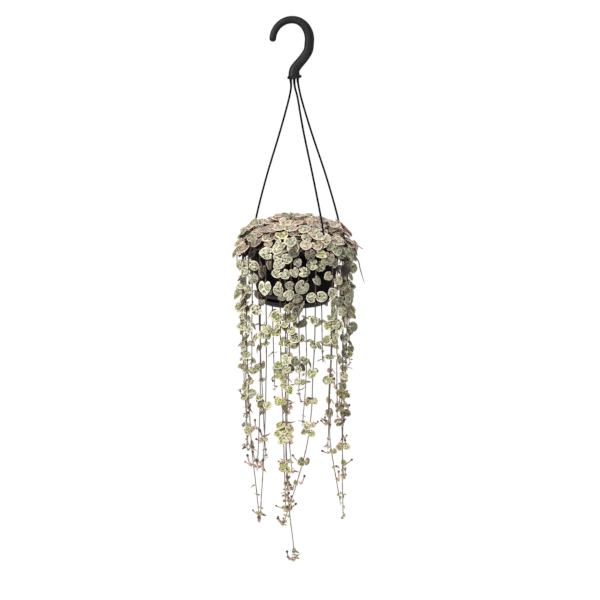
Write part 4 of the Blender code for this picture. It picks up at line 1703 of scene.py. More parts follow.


# The eighth number of each plan is its tone, which also paints shade on leaves that hang in shade.
FRONT_LEAVES = tuple(FrontLeaf(*plan) for plan in (
    # The upper row, over the rim.
    (-0.0052, -0.25, 0.0155, 10, 56, 0, 0.35), (-0.0175, -0.255, 0.0135, -30, 32),
    (0.013, -0.255, 0.015, -10, 50, 0, 0.70), (0.0264, -0.256, 0.014, 15, 48, 0, 0.75),
    (-0.0017, -0.2586, 0.015, 20, 36, 0, 0.4), (0.0416, -0.258, 0.0115, -30, 10, 0, 0.3, 0.8, 0.2),
    (0.051, -0.2546, 0.015, 60, 62, 0, 0.7), (-0.031, -0.2545, 0.011, 40, 60, 0, 0.8),
    (-0.0333, -0.2654, 0.0155, -90, 6, 0, 0.15, 1.0), (0.0182, -0.266, 0.013, 20, 6, 0, 0.4, 0.35),
    (0.0305, -0.2661, 0.0135, 60, 50, 0, 0.2, 0.8, 0.6), (0.035, -0.2765, 0.0085, 10, 5, 0, 0.3, 0.7, 0.3),
    # Pairs below them.
    (-0.0192, -0.269, 0.0125, -95, 8, 0, 0.2, 0.9), (-0.0093, -0.2708, 0.0125, 82, 8, 0, 0.2),
    (-0.0186, -0.2765, 0.013, -55, 12, 0, 0.25, 0.8), (0.0036, -0.2747, 0.011, 150, 5, 25, 0.5, 0.5),
    (-0.0565, -0.282, 0.0115, -75, 6, 0, 0.25), (-0.0489, -0.283, 0.012, 62, 6, 0, 0.2, 0.9),
    (-0.0389, -0.2882, 0.015, 0, 4, 68, 0.6, 0.6), (-0.0303, -0.2795, 0.01, 5, 4, 58, 0.3, 0.7, 0.5),
    (-0.0602, -0.2937, 0.0125, -40, 6, 0, 0.3, 0.9), (0.0206, -0.2784, 0.013, -85, 8, 0, 0.15, 0.95),
    (0.0305, -0.2822, 0.013, 60, 6, 0, 0.15, 0.95), (-0.0221, -0.2885, 0.012, -80, 6, 0, 0.15, 1.0),
    (-0.0114, -0.2897, 0.0125, 40, 6, 0, 0.15, 1.0), (-0.0005, -0.2867, 0.012, 25, 6, 20, 0.4),
    (0.011, -0.2867, 0.0125, 85, 6, 0, 0.2, 0.95), (0.0264, -0.2974, 0.011, 35, 6, 32, 0.2, 0.6),
    (0.0465, -0.2788, 0.011, 150, 6, 0, 0.3, 0.8), (0.056, -0.2713, 0.0115, -60, 10, 0, 0.6),
    # The lower part of the pot.
    (-0.0356, -0.3068, 0.016, 0, 4, 0, 0.1, 1.0), (0.0083, -0.3046, 0.0165, -35, 4, 0, 0.2, 0.6),
    (-0.0064, -0.3028, 0.011, -100, 4, 0, 0.3, 0.5), (-0.0198, -0.3094, 0.013, 0, 4, 0, 0.3, 0.8),
    (-0.0192, -0.302, 0.0075, 180, 4, 0, 0.1, 1.0), (-0.0069, -0.3139, 0.0125, 130, 4),
    (-0.0151, -0.3165, 0.01, -60, 4, 0, 0.4, 0.5), (0.0192, -0.318, 0.0125, -110, 4, 0, 0.1, 0.95),
    (0.0317, -0.3181, 0.0135, 75, 4, 0, 0.1, 0.95), (0.0399, -0.2943, 0.011, -60, 6, 0, 0.55, 0.8),
    (0.0514, -0.3009, 0.0115, 45, 6, 0, 0.6, 0.9), (0.0455, -0.315, 0.0125, -150, 4, 20, 0.3, 0.8),
    (0.047, -0.3262, 0.012, -30, 4, 25, 0.3, 0.75), (0.003, -0.3177, 0.0125, 90, -12, 0, 0.6, 0.5),
    (-0.004, -0.3279, 0.011, 0, 2, 40, 0.6, 0.6), (0.0065, -0.3255, 0.011, -20, 2, -42, 0.6, 0.55),
    (-0.0391, -0.326, 0.0075, 0, 4, 0, 0.3, 0.6), (-0.0298, -0.3127, 0.007, 30, 4, 0, 0.3, 0.35),
    # The sides.
    (0.065, -0.2824, 0.014, 40, 8, 0, 0.4), (0.071, -0.292, 0.012, 10, 8, 0, 0.3, 0.8, 0.3),
    (0.0616, -0.2927, 0.014, -20, 4, 0, 0.3, 0.2), (0.062, -0.2688, 0.013, 20, 8, 0, 0.4, 0.4),
    (0.057, -0.308, 0.014, 160, 4, 20, 0.3, 0.5, 0.3), (0.064, -0.3295, 0.014, 30, 4, 0, 0.3, 0.7),
    (0.063, -0.34, 0.012, -50, 4, 0, 0.3, 0.6), (0.071, -0.3148, 0.008, 90, 10, 40, 0.9, 0.6),
    (-0.0668, -0.288, 0.013, -20, 8, 0, 0.4), (-0.0565, -0.3139, 0.0115, 45, 6),
    (-0.068, -0.3165, 0.011, -60, 6, 0, 0.3, 0.8), (-0.0495, -0.2992, 0.0125, 40, 6, 20, 0.3, 0.7),
    (-0.063, -0.304, 0.0095, 0, 6, 0, 0.3, 0.3),
    # The flushed leaves that slide down the right shoulder with their edges to the front.
    (0.0545, -0.2378, 0.015, 40, 0, 84, 0.9, 0.5, 0.0, 0.03),
    (0.06, -0.2415, 0.015, 44, 0, 78, 0.8, 0.7, 0.0, 0.022),
    (0.0645, -0.2468, 0.015, 42, 0, 85, 1.0, 0.4, 0.0, 0.012),
    (0.0622, -0.249, 0.014, 46, 0, 83, 0.9, 0.3, 0.0, 0.004), (0.069, -0.26, 0.016, 58, 0, 72, 0.9, 0.8),
    (0.0775, -0.2648, 0.015, 58, 0, 78, 0.8, 0.5),
    (0.048, -0.2365, 0.0155, 80, 66, 0, 0.8, 0.85, 0.0, 0.03),
    # Broad leaves that lie flat on the top of the mound.
    (-0.0185, -0.2285, 0.0155, 84, 0, 82, 1.0, 1.0, 0.0, 0.063),
    (-0.005, -0.229, 0.01, 40, 40, 0, 0.4, 0.5, 0.2, 0.064),
    (-0.019, -0.2375, 0.0165, 80, 68, 0, 0.6, 0.95, 0.0, 0.022),
    (-0.0045, -0.237, 0.0165, -70, 66, 0, 0.6, 0.95, 0.0, 0.02),
    (-0.015, -0.245, 0.0165, 20, 70, 0, 0.2, 0.9, 0.7, 0.01),
    (0.0365, -0.2492, 0.014, 10, 40, 0, 0.6, 0.95),
    (0.011, -0.2385, 0.016, -30, 66, 0, 0.5, 0.85, 0.0, 0.02),
    (0.0225, -0.242, 0.0155, 70, 62, 0, 0.5, 0.85, 0.0, 0.016),
    (0.03, -0.2465, 0.012, -60, 50, 0, 0.5, 0.85, 0.0, 0.008),
))
SWELLINGS = (Swelling(-0.017, 0.0, 0.0065, 0.012), Swelling(0.052, 0.008, 0.0045, 0.018),
             Swelling(-0.058, 0.0, 0.0070, 0.017), Swelling(0.010, 0.0, 0.0030, 0.012))

# A bare side stem, and which trail it grows from.
RUNNER = ((0.0735, -0.0200, -0.2766), (0.0776, -0.0210, -0.2829), (0.0792, -0.0210, -0.2910),
          (0.0846, -0.0210, -0.3090))
RUNNER_TRAIL = 12
CROWN_SHOOTS = 18
GOLDEN_ANGLE = 137.5
# The mound's layers of leaves: how deep, how far apart from ring to ring, and along a ring.
MOUND_LAYERS = ((0.0, 0.0098, 0.0126), (0.0055, 0.0100, 0.0150), (0.0110, 0.012, 0.017))
# The radii that a leaf in front of the pot may hang at, the best first.
FRONT_RADII = (0.0655, 0.0670, 0.0685, 0.0640, 0.0700, 0.0625, 0.0715, 0.0735, 0.0755)
# The last pairs of a vine: how many points from its tip, and the leaves' width.
TIP_PAIRS = ((4, 0.0040), (2, 0.0032), (1, 0.0026))
# Pairs of leaves without given heights: where they start, where the pot ends, the spacing in front
# of the pot, and what is kept free above the tufts.
PAIRS_TOP_Z = -0.272
POT_FOOT_Z = -0.335
POT_SPACING = 0.015
TUFT_GAP = 0.012
# Leaves narrower than these are divided less finely.
SMALL_LEAF = 0.006
PLAIN_LEAF = 0.0105
# The points of a stem, counted from its root, that leaves of the mound can hang on.
MOUND_JOINTS = slice(2, 30)


# A flower of the usual length: its radius at each share of the way from its base to its tip.
FLOWER_LENGTH = 0.0092
FLOWER_SHAPE = ((-9, 0.00030), (-0.02, 0.00034), (0.03, 0.00070), (0.09, 0.00115), (0.16, 0.00120),
                (0.24, 0.00085), (0.34, 0.00056), (0.60, 0.00046), (0.76, 0.00054), (0.85, 0.00102),
                (0.92, 0.00108), (0.98, 0.00068), (1.0, 0.00018))


@dataclass(frozen=True)
class Flower:
    """A lantern flower.

    Attributes:
        root: Where its stalk leaves the stem.
        out: The level way it leans.
        length: Its length.
        lean: How far it leans from upright, in degrees.
    """

    root: Vector
    out: Vector
    length: float
    lean: float


@dataclass
class Vine:
    """One vine: its middle line and what grows on it.

    Attributes:
        name: The node that it stands for, or the name of an added one.
        path: Its middle line, from the soil to the tip.
        is_node: Whether it stands for a solid.
        leaves: The leaves on it.
        flowers: The flowers on it.
    """

    name: str
    path: list[Vector]
    is_node: bool = True
    leaves: list[LeafPose] = field(default_factory=list)
    flowers: list[Flower] = field(default_factory=list)

    def radii(self) -> list[float]:
        """Return the stem's radius at each point, thinning to its tip and swelling a little at its joints.

        Returns:
            One radius for each point of the stem.
        """
        count = len(self.path) - 1
        found = []
        for k in range(count + 1):
            joint = 0.00014 if k % 8 == 3 else 0.0
            found.append((0.00078 - 0.00024 * k / count + joint) * min(1.0, 0.35 + (count - k) / 5))
        return found


@dataclass
class Plant:
    """The whole plant: a mound of shingled leaves on creeping shoots, and vines that trail over the rim.

    Attributes:
        room: The space that is taken.
        soil: The soil that it grows in.
        rng: The source of its irregularity.
        mound_height: How high the mound stands above the rim.
        mound_radius: The radius that the mound's curve would meet the rim at.
        hang_radius: How far from the axis the vines hang.
        leaf_width: The usual width of the upper leaves.
        vines: All stems, with what grows on them.
        profile: The mound's outline from its top down, as (radius, height).
        light: Where the light comes from that the leaves turn to.
        turned_mound: The least and the most that the mound's leaves turn to it.
        turned_trail: How far the hanging leaves turn to it.
        painted_pot_shade: Painted shade on the leaves in front of the pot, as a share of their planned
            brightness.
    """

    room: Room
    soil: Soil
    rng: random.Random
    mound_height: float = 0.0270
    mound_radius: float = 0.0780
    hang_radius: float = 0.0650
    leaf_width: float = 0.0155
    vines: list[Vine] = field(default_factory=list)
    profile: tuple[tuple[float, float], ...] = (
        (0.0, -0.2335), (0.020, -0.2348), (0.036, -0.2388), (0.050, -0.2445), (0.0630, -0.2535),
        (0.0708, -0.2665), (0.0735, -0.2810), (0.0735, -0.3000))
    light: Vector = field(default_factory=lambda: Vector((-0.1, -0.75, 0.65)).normalized())
    turned_mound: tuple[float, float] = (0.0, 0.40)
    turned_trail: float = 0.35
    painted_pot_shade: float = 0.88

    def __post_init__(self) -> None:
        """Lay out a blade for each outline at each fineness."""
        self.blades = {(detail, outline): Blade(detail, outline) for detail in Detail for outline in Outline}

    def mound_z(self, radius: float) -> float:
        """Return the height of the shoots at a radius."""
        return RIM_Z + self.mound_height * (1 - (radius / self.mound_radius) ** 2)

    def trail_path(self, trail: Trail) -> list[Vector]:
        """Return the middle line of a trailing vine.

        Args:
            trail: The plan of the vine.

        Returns:
            The points from the soil to the tip.
        """
        root, over_rim, hang_z = 0.0485, RIM_Z + 0.0065, RIM_Z - 0.020
        points = [
            on_circle(trail.azimuth, root, self.soil.top_z(root) + GAP),
            on_circle(trail.azimuth, root + 0.002, over_rim - 0.003),
            on_circle(trail.azimuth, 0.0575, over_rim),
            on_circle(trail.azimuth, self.hang_radius - 0.001, RIM_Z - 0.001),
            on_circle(trail.azimuth, self.hang_radius, hang_z),
        ]
        hang = points[-1]
        for share, sway in zip((1 / 3, 2 / 3, 1.0), trail.sway_x):
            points.append(hang + Vector((sway, trail.sway_y * share**2, (trail.tip_z - hang_z) * share)))
        return self.wiggled(smooth_path(points, 0.004), 0.0005)

    def shoot_path(self, shoot: Shoot) -> list[Vector]:
        """Return the middle line of a crown shoot.

        Args:
            shoot: The plan of the shoot.

        Returns:
            The points from the soil to the tip.
        """
        start, end, sink = shoot.start, shoot.end, shoot.sink
        middle = (start + end) / 2
        ground, top = self.soil.top_z(start), self.mound_z(start)
        points = [
            on_circle(shoot.azimuth, start, ground + GAP),
            on_circle(shoot.azimuth, start + 0.002, (ground + top) / 2 - 0.002 - sink / 2),
            on_circle(shoot.azimuth, middle, self.mound_z(middle) - 0.005 - sink),
        ]
        if shoot.drop:
            points.append(on_circle(shoot.azimuth, end - 0.005, self.mound_z(end) - 0.003))
            points.append(on_circle(shoot.azimuth, end, RIM_Z - shoot.drop * 0.4))
            points.append(on_circle(shoot.azimuth, end, RIM_Z - shoot.drop))
        else:
            points.append(on_circle(shoot.azimuth, end, self.mound_z(end) - 0.004 - sink))
        return self.wiggled(smooth_path(points, 0.003), 0.0004)

    def wiggled(self, path: list[Vector], amount: float) -> list[Vector]:
        """Return a path with the small, slow wander of a real stem.

        Args:
            path: The points to move.
            amount: How far the wander reaches.

        Returns:
            The moved points.
        """
        phase = self.rng.uniform(0, 100)
        moved = []
        for k, point in enumerate(path):
            fade = min(1.0, k / 8)
            drift = Vector([noise.noise(Vector((k * 0.11, phase, 17.3 * axis))) for axis in range(3)])
            moved.append(point + drift * amount * fade)
        return moved

    def grow(self) -> None:
        """Lay out every stem, then set leaves on them wherever there is room."""
        for k, shoot in enumerate(SHOOTS):
            self.vines.append(Vine(f"shoot_{k + 1:02d}", self.shoot_path(shoot)))
        for k in range(CROWN_SHOOTS):
            start, end, sink = 0.012 + 0.012 * (k % 3), 0.036 + 0.010 * (k % 4), 0.001 + 0.002 * (k % 2)
            shoot = Shoot(k * GOLDEN_ANGLE + 8, start, end, sink=sink)
            self.vines.append(Vine(f"crown_{k + 1:02d}", self.shoot_path(shoot), is_node=False))
        trails = []
        for k, trail in enumerate(TRAILS):
            trails.append(Vine(f"trail_{k + 1:02d}", self.trail_path(trail)))
        self.vines += trails
        for vine in self.vines:
            line = vine.path[::2] + [vine.path[-1]]
            self.room.keep_clear_of(*tube(line, [STEM_ROOM] * len(line), 4))
        for leaf in FRONT_LEAVES:
            self.front_leaf(leaf)
        self.cover_mound()
        for vine, trail in zip(trails, TRAILS):
            self.dress_trail(vine, trail)
        start = next(point for point in trails[RUNNER_TRAIL].path if point.z < -0.270)
        points = [start, *(Vector(place) for place in RUNNER)]
        self.vines.append(Vine("bare_runner", smooth_path(points, 0.004), is_node=False))

    def leaf_scale(self, z: float) -> float:
        """Return a leaf's size as a share of the largest, which shrinks towards the vines' tips."""
        steps = ((-0.290, 1.0), (-0.350, 0.92), (-0.420, 0.72), (-0.500, 0.48), (-0.600, 0.26))
        return float(np.interp(-z, [-z0 for z0, _ in steps], [share for _, share in steps]))

    def try_pose(self, pose: LeafPose) -> bool:
        """Take the room of a leaf if it is free, and say whether it was.

        Args:
            pose: Where the leaf would be.

        Returns:
            Whether the leaf can be there.
        """
        blade = self.blades[Detail.TEST, pose.outline]
        points = blade.shape(pose, swell=LEAF_ROOM)
        if not self.room.is_free(points, blade.faces):
            return False
        self.room.take(points, blade.faces)
        return True

    def bend(self, pose: LeafPose) -> LeafPose:
        """Give a leaf its own curvature, proportions and pattern.

        Args:
            pose: The leaf, which is changed.

        Returns:
            The same leaf.
        """
        rng = self.rng
        pose.cup = rng.uniform(-0.22, 0.16)
        pose.fold = max(0.0, rng.gauss(0.02, 0.09))
        pose.droop = rng.uniform(-0.02, 0.16)
        pose.twist = rng.uniform(-0.16, 0.16)
        pose.wave = rng.uniform(-0.025, 0.025)
        pose.stretch = rng.uniform(0.92, 1.10)
        pose.taper = rng.uniform(0.0, 0.30)
        pose.seed = rng.random()
        pose.outline = rng.choices(list(Outline), (0.40, 0.35, 0.25))[0]
        return pose

    def profile_point(self, s: float) -> tuple[float, float, Vector]:
        """Return the mound's surface at a distance down from its top.

        Args:
            s: The distance along the mound's outline.

        Returns:
            The radius, the height and the downhill direction as (outward, 0, up).
        """
        points = [Vector((r, 0.0, z)) for r, z in self.profile]
        for a, b in zip(points, points[1:]):
            length = (b - a).length
            if s <= length or b is points[-1]:
                place = a + (b - a) * min(1.0, s / length)
                return place.x, place.z, (b - a).normalized()
            s -= length
        raise ValueError("the mound's outline has no length")

    def front_leaf(self, leaf: FrontLeaf) -> None:
        """Set one leaf in front of the pot, as near to it as the others allow.

        Args:
            leaf: The plan of the leaf.
        """
        for radius in FRONT_RADII:
            near = math.sqrt(max(radius**2 - leaf.x**2, 0.012**2))
            centre = Vector((leaf.x, leaf.back - near, leaf.z))
            out = (Vector((leaf.x, -near, 0.0)).normalized() + Vector((0.0, -1.6, 0.0))).normalized()
            right = UP.cross(out)
            heading, roll = math.radians(leaf.heading), math.radians(leaf.roll)
            along = right * math.sin(heading) - UP * math.cos(heading)
            face = out * math.cos(roll) + out.cross(along) * math.sin(roll)
            tilt = rotation(-leaf.pitch, right)
            along, face = tilt @ along, tilt @ face
            apex = centre - along * LEAF_MIDDLE * leaf.width
            pose = self.bend(LeafPose(apex, along, face, leaf.width, apex))
            # Painted shade: leaves in front of the pot are darkened by a fixed share.
            pose.pink, pose.tone, pose.fresh = leaf.pink, leaf.tone * self.painted_pot_shade, leaf.fresh
            if self.try_pose(pose):
                self.attach(pose)
                return
        LOG.debug("no room for the front leaf at x %.4f, z %.4f", leaf.x, leaf.z)

    def skirt(self, azimuth: float) -> float:
        """Return how low the mound's leaves reach at an azimuth.

        Args:
            azimuth: The direction in degrees.

        Returns:
            The height.
        """
        ragged = noise.noise(on_circle(azimuth, 2.3)) * 0.016
        bare = 0.020 * math.exp(-(((azimuth - 236) % 360) / 16) ** 2) + 0.020 * math.exp(
            -(((236 - azimuth) % 360) / 16) ** 2)
        front = 0.014 * math.exp(-((azimuth - 270) / 48) ** 2)
        return -0.277 - ragged + bare + front

    def cover_mound(self) -> None:
        """Cover the mound with shingled leaves, ring after ring from the rim up, then fill in below them."""
        length = sum(math.dist(a, b) for a, b in zip(self.profile, self.profile[1:]))
        for depth, step, spacing in MOUND_LAYERS:
            s = length
            while s > 0:
                radius, z, _ = self.profile_point(s)
                count = max(1, round(math.tau * radius / spacing))
                first = self.rng.uniform(0, 360)
                for k in range(count):
                    azimuth = (first + 360 * k / count) % 360
                    if z > self.skirt(azimuth):
                        self.mound_leaf(s, azimuth, depth)
                s -= step

    def mound_leaf(self, s: float, azimuth: float, depth: float) -> None:
        """Set one leaf on the mound, in the first of several poses that is free.

        Args:
            s: How far down the mound it is.
            azimuth: Which side of the mound it is on.
            depth: How far below the surface it is.
        """
        rng = self.rng
        for attempt in range(10):
            radius, z, downhill = self.profile_point(max(0.001, s + rng.uniform(-0.004, 0.004)))
            turn = rotation(azimuth + rng.uniform(-6, 6), "Z")
            down = turn @ downhill
            side = turn @ Vector((0.0, 1.0, 0.0))
            normal = down.cross(side)
            heading = math.radians(rng.gauss(0, 52))
            along = down * math.cos(heading) + side * math.sin(heading)
            raised = math.radians(rng.uniform(2, 30))
            face = normal * math.cos(raised) - along * math.sin(raised)
            along = along * math.cos(raised) + normal * math.sin(raised)
            face = rotation(rng.gauss(0, 17), along) @ face
            face = face.lerp(self.light, rng.uniform(*self.turned_mound)).normalized()
            along = (along - face * along.dot(face)).normalized()
            width = rng.uniform(0.0125, 0.0165) if rng.random() < 0.85 else rng.uniform(0.008, 0.012)
            width *= 1.0 if attempt < 6 else 0.8
            centre = turn @ Vector((radius, 0.0, z)) + normal * (rng.uniform(-0.0030, 0.0025) - depth)
            for swelling in SWELLINGS:
                away = math.hypot(centre.x - swelling.x, centre.y - swelling.y) / swelling.spread
                centre.z += swelling.height * math.exp(-(away**2))
            pose = self.bend(LeafPose(centre - along * LEAF_MIDDLE * width, along, face, width, centre))
            crowned = 0.35 * max(0.0, (z + 0.262) / 0.03)
            pose.pink = share_of_one(rng.gauss(0.42 + crowned, 0.24) - depth * 30)
            # Painted shade: the tone falls with the leaf's depth below the mound, on top of a random tone.
            pose.tone = share_of_one(rng.gauss(0.70, 0.26) - depth * 140)
            pose.fresh = max(0.0, rng.gauss(-0.15, 0.2))
            if self.try_pose(pose):
                self.attach(pose)
                return

    def attach(self, pose: LeafPose) -> None:
        """Hang a leaf of the mound on the nearest stem.

        Args:
            pose: The leaf.
        """
        wanted = pose.apex - pose.along * 0.006 - pose.face * 0.003
        places = [(vine, point) for vine in self.vines for point in vine.path[MOUND_JOINTS]]
        vine, pose.root = min(places, key=lambda place: (place[1] - wanted).length)
        vine.leaves.append(pose)

    def dress_trail(self, vine: Vine, trail: Trail) -> None:
        """Set pairs of leaves along the upper part of a trailing vine, and tufts along the lower part.

        Args:
            vine: The vine that takes the leaves.
            trail: Its plan.
        """
        rng = self.rng
        directions = tangents(vine.path)
        levels, tufts = self.pair_levels(trail), list(trail.tufts)
        for index in range(4, len(vine.path) - 1):
            point = vine.path[index]
            if levels and point.z < levels[0]:
                levels.pop(0)
                turn = rng.uniform(-PAIR_TURN, PAIR_TURN)
                leaves = 2 + (trail.habit is Habit.FULL and rng.random() < 0.5)
                for k in range(leaves):
                    width = self.leaf_width * self.leaf_scale(point.z) * rng.uniform(0.70, 1.08)
                    width *= 1.0 if k < 2 else 0.75
                    self.pair_leaf(vine, trail, point, directions[index], turn, 1 - 2 * (k % 2), width)
            if tufts and point.z < tufts[0].z:
                self.dress_tuft(vine, trail, point, directions[index], tufts.pop(0))
        for back, width in TIP_PAIRS:
            turn = rng.uniform(-PAIR_TURN, PAIR_TURN)
            for side in (1, -1):
                self.pair_leaf(vine, trail, vine.path[-1 - back], directions[-1 - back], turn, side, width)

    def pair_levels(self, trail: Trail) -> list[float]:
        """Return the heights of a vine's pairs of leaves, from the rim down to its tufts or its tip.

        Args:
            trail: The plan of the vine.

        Returns:
            The heights from the top down.
        """
        rng = self.rng
        levels = list(trail.pairs)
        lowest = trail.tufts[0].z + TUFT_GAP if trail.tufts else trail.tip_z + TUFT_GAP
        z = PAIRS_TOP_Z
        while not trail.pairs and z > lowest:
            spacing = trail.habit.value if z < POT_FOOT_Z else POT_SPACING
            z -= spacing * rng.uniform(0.75, 1.25)
            levels.append(z)
        return levels

    def dress_tuft(self, vine: Vine, trail: Trail, point: Vector, direction: Vector, tuft: Tuft) -> None:
        """Set what one of a vine's lower joints bears.

        Args:
            vine: The vine.
            trail: Its plan.
            point: The joint.
            direction: The stem's direction there.
            tuft: What the joint bears.
        """
        rng = self.rng
        turn = rng.uniform(-PAIR_TURN, PAIR_TURN)
        for k in range(tuft.leaves):
            root = point + direction * rng.uniform(-0.002, 0.002)
            width = tuft.size * (1.0 if k == 0 else rng.uniform(0.65, 1.05))
            self.pair_leaf(vine, trail, root, direction, turn, 1 - 2 * (k % 2), width)
        for _ in range(tuft.spears):
            self.spear(vine, point, direction)
        for _ in range(tuft.flowers):
            self.add_flower(vine, point)

    def outward(self, point: Vector) -> Vector:
        """Return the way out from the pot's axis at a point, a little upwards."""
        return (Vector((point.x, point.y, 0.0)).normalized() + Vector((0.0, 0.0, 0.22))).normalized()

    def pair_leaf(self, vine: Vine, trail: Trail, point: Vector, direction: Vector, turn: float, side: int,
                  width: float) -> None:
        """Set one leaf of a pair, in the first of several poses that is free.

        Args:
            vine: The vine that it grows on.
            trail: The plan of that vine.
            point: Where it grows.
            direction: The way the stem runs there.
            turn: How far the pair is turned round the stem, in degrees.
            side: 1 or -1 for the two sides of the stem.
            width: Its width.
        """
        rng = self.rng
        for attempt in range(16):
            out = self.outward(point)
            turned_out = rotation(turn + rng.gauss(0, 16), "Z") @ out
            sideways = direction.cross(turned_out).normalized() * side
            fall = math.radians(rng.uniform(2, 72))
            along = sideways * math.cos(fall) + direction * math.sin(fall)
            along = (along + out * rng.uniform(-0.10, 0.40)).normalized()
            target = (out + Vector((0.0, 0.0, rng.uniform(-0.1, 0.6)))).normalized()
            target = target.lerp(self.light, self.turned_trail)
            face = (target - along * target.dot(along)).normalized()
            face = rotation(rng.gauss(0, 26), along) @ face
            wide = width * (1.0 if attempt < 10 else 0.82)
            stalk = 0.0015 + 0.11 * wide * rng.uniform(0.5, 1.5)
            lean = sideways * rng.uniform(0.35, 0.95) + along * 0.3 + out * rng.uniform(0.25, 0.80)
            pose = self.bend(LeafPose(point + lean.normalized() * stalk, along, face, wide, point))
            low = share_of_one((-0.40 - point.z) / 0.12)
            pose.pink = share_of_one(rng.gauss(0.18 + 0.22 * low, 0.18))
            pose.tone = share_of_one(rng.gauss(0.82, 0.22))
            pose.fresh = share_of_one(rng.gauss(trail.fresh + 0.08 + 0.45 * low, 0.18))
            if self.try_pose(pose):
                vine.leaves.append(pose)
                return

    def spear(self, vine: Vine, point: Vector, direction: Vector) -> None:
        """Set a narrow young leaf that is still folded along its midrib.

        Args:
            vine: The vine.
            point: The joint.
            direction: The stem's direction there.
        """
        rng = self.rng
        for _ in range(8):
            out = self.outward(point)
            sideways = rotation(rng.gauss(0, 30), "Z") @ direction.cross(out).normalized()
            along = sideways * rng.choice((1, -1)) + direction * rng.uniform(-0.5, 1.2)
            along = (along + out * rng.uniform(-0.2, 0.4)).normalized()
            face = (out - along * out.dot(along)).normalized()
            face = rotation(rng.uniform(-60, 60), along) @ face
            width = rng.uniform(0.0028, 0.0042)
            pose = self.bend(LeafPose(point + along * rng.uniform(0.0030, 0.0042), along, face, width, point))
            pose.outline = Outline.HEART
            pose.fold = rng.uniform(0.5, 0.9)
            pose.stretch = rng.uniform(1.9, 3.0)
            pose.taper = rng.uniform(0.35, 0.6)
            pose.pink = rng.uniform(0.45, 1.0)
            pose.tone = rng.uniform(0.3, 0.9)
            pose.fresh = rng.uniform(0.0, 0.5)
            if self.try_pose(pose):
                vine.leaves.append(pose)
                return

    def add_flower(self, vine: Vine, point: Vector) -> None:
        """Set a flower that leans outwards or sideways at a joint.

        Args:
            vine: The vine.
            point: The joint.
        """
        rng = self.rng
        turn = rng.choice((1, -1)) * rng.uniform(0, 115)
        out = rotation(turn, "Z") @ self.outward(point)
        vine.flowers.append(Flower(point, out.normalized(), rng.uniform(0.0100, 0.0150), rng.uniform(0, 85)))

    def blade_for(self, pose: LeafPose) -> Blade:
        """Return the blade that a leaf gets, which is finer for a wider leaf.

        Args:
            pose: The leaf.

        Returns:
            The blade.
        """
        if pose.width < SMALL_LEAF:
            return self.blades[Detail.SMALL, pose.outline]
        return self.blades[Detail.PLAIN if pose.width < PLAIN_LEAF else Detail.FINE, pose.outline]

    def stalk_mesh(self, pose: LeafPose) -> tuple[np.ndarray, Faces]:
        """Return the leaf's stalk, which curves from the stem into the blade.

        Args:
            pose: The leaf.

        Returns:
            The points and the faces.
        """
        start, end = pose.root, pose.apex + pose.along * 0.06 * pose.width
        reach = (end - start).length
        bend = end - pose.along * 0.55 * reach
        path = []
        for k in range(6):
            t = k / 5
            path.append(start * (1 - t) ** 2 + bend * 2 * t * (1 - t) + end * t**2)
        thick = 0.00018 + 0.017 * pose.width
        return tube(path, [thick * (1.15 - 0.3 * k / 5) for k in range(6)], 6)

    def flower_mesh(self, flower: Flower) -> tuple[np.ndarray, Faces, np.ndarray]:
        """Return a flower on its stalk as the points, the faces and how far along it each point is.

        Args:
            flower: The flower.

        Returns:
            The points, the faces, and how far along it each point is.
        """
        root, out, length = flower.root, flower.out, flower.length
        lean = math.radians(flower.lean)
        bulb = root + out * (0.2 + 0.25 * math.sin(lean * 5) ** 2) * length - UP * 0.25 * length
        top = bulb + (UP * math.cos(lean) + out * math.sin(lean)).normalized() * length
        path = smooth_path([root, root + (bulb - root) * 0.6 + UP * 0.08 * length, bulb,
                            bulb + (top - bulb) * 0.45 + (out - UP) * 0.06 * length, top], 0.0007)
        shares, radii = [], []
        total = sum((b - a).length for a, b in zip(path, path[1:]))
        travelled = 0.0
        stalk = (bulb - root).length * 1.06 / total
        for k, point in enumerate(path):
            if k:
                travelled += (point - path[k - 1]).length
            t = travelled / total
            s = (t - stalk) / (1 - stalk)
            radii.append(float(np.interp(s, *zip(*FLOWER_SHAPE))) * length / FLOWER_LENGTH)
            shares.append(0.25 * max(0.0, min(1.0, t / stalk)) if s < 0 else 0.25 + 0.75 * s)
        points, faces = tube(path, radii, 10)
        return points, faces, np.repeat(shares, 10)

    def dress(self, stem_skin: bpy.types.Material, leaf_skins: list[bpy.types.Material],
              flower_skin: bpy.types.Material) -> None:
        """Build every vine's stem, leaves and flowers as pieces.

        Args:
            stem_skin: The finish of the stems.
            leaf_skins: The finishes of the upper side and the underside of the leaves.
            flower_skin: The finish of the flowers.
        """
        for vine in self.vines:
            stem = Surface(f"{vine.name}_stem", [stem_skin], Slot.STEMS)
            points, faces = tube(vine.path, vine.radii(), 7)
            age = np.clip((RIM_Z - 0.06 - points[:, 2]) / 0.10, 0, 1)
            stem.add(points, faces, growth=np.stack([age, age * 0, age * 0, age * 0], 1))
            leaves = Surface(f"{vine.name}_leaves", leaf_skins, Slot.LEAVES)
            for pose in vine.leaves:
                points, faces = self.stalk_mesh(pose)
                stem.add(points, faces, growth=np.tile((0.3, 1.0, 0.0, 0.0), (len(points), 1)))
                blade = self.blade_for(pose)
                points = blade.shape(pose)
                growth = np.tile((pose.pink, pose.tone, pose.seed, pose.fresh), (len(points), 1))
                place = np.column_stack([blade.plane, blade.edge])
                leaves.add(points, blade.faces, growth, place, blade.slots)
            stem.build([vine.name] if vine.is_node else [])
            if vine.leaves:
                leaves.build()
            if vine.flowers:
                flowers = Surface(f"{vine.name}_flowers", [flower_skin], Slot.FLOWERS)
                for flower in vine.flowers:
                    points, faces, shares = self.flower_mesh(flower)
                    green = np.zeros(len(points))
                    flowers.add(points, faces, growth=np.stack([shares, green, green, green], 1))
                flowers.build()


# ---- studio ----


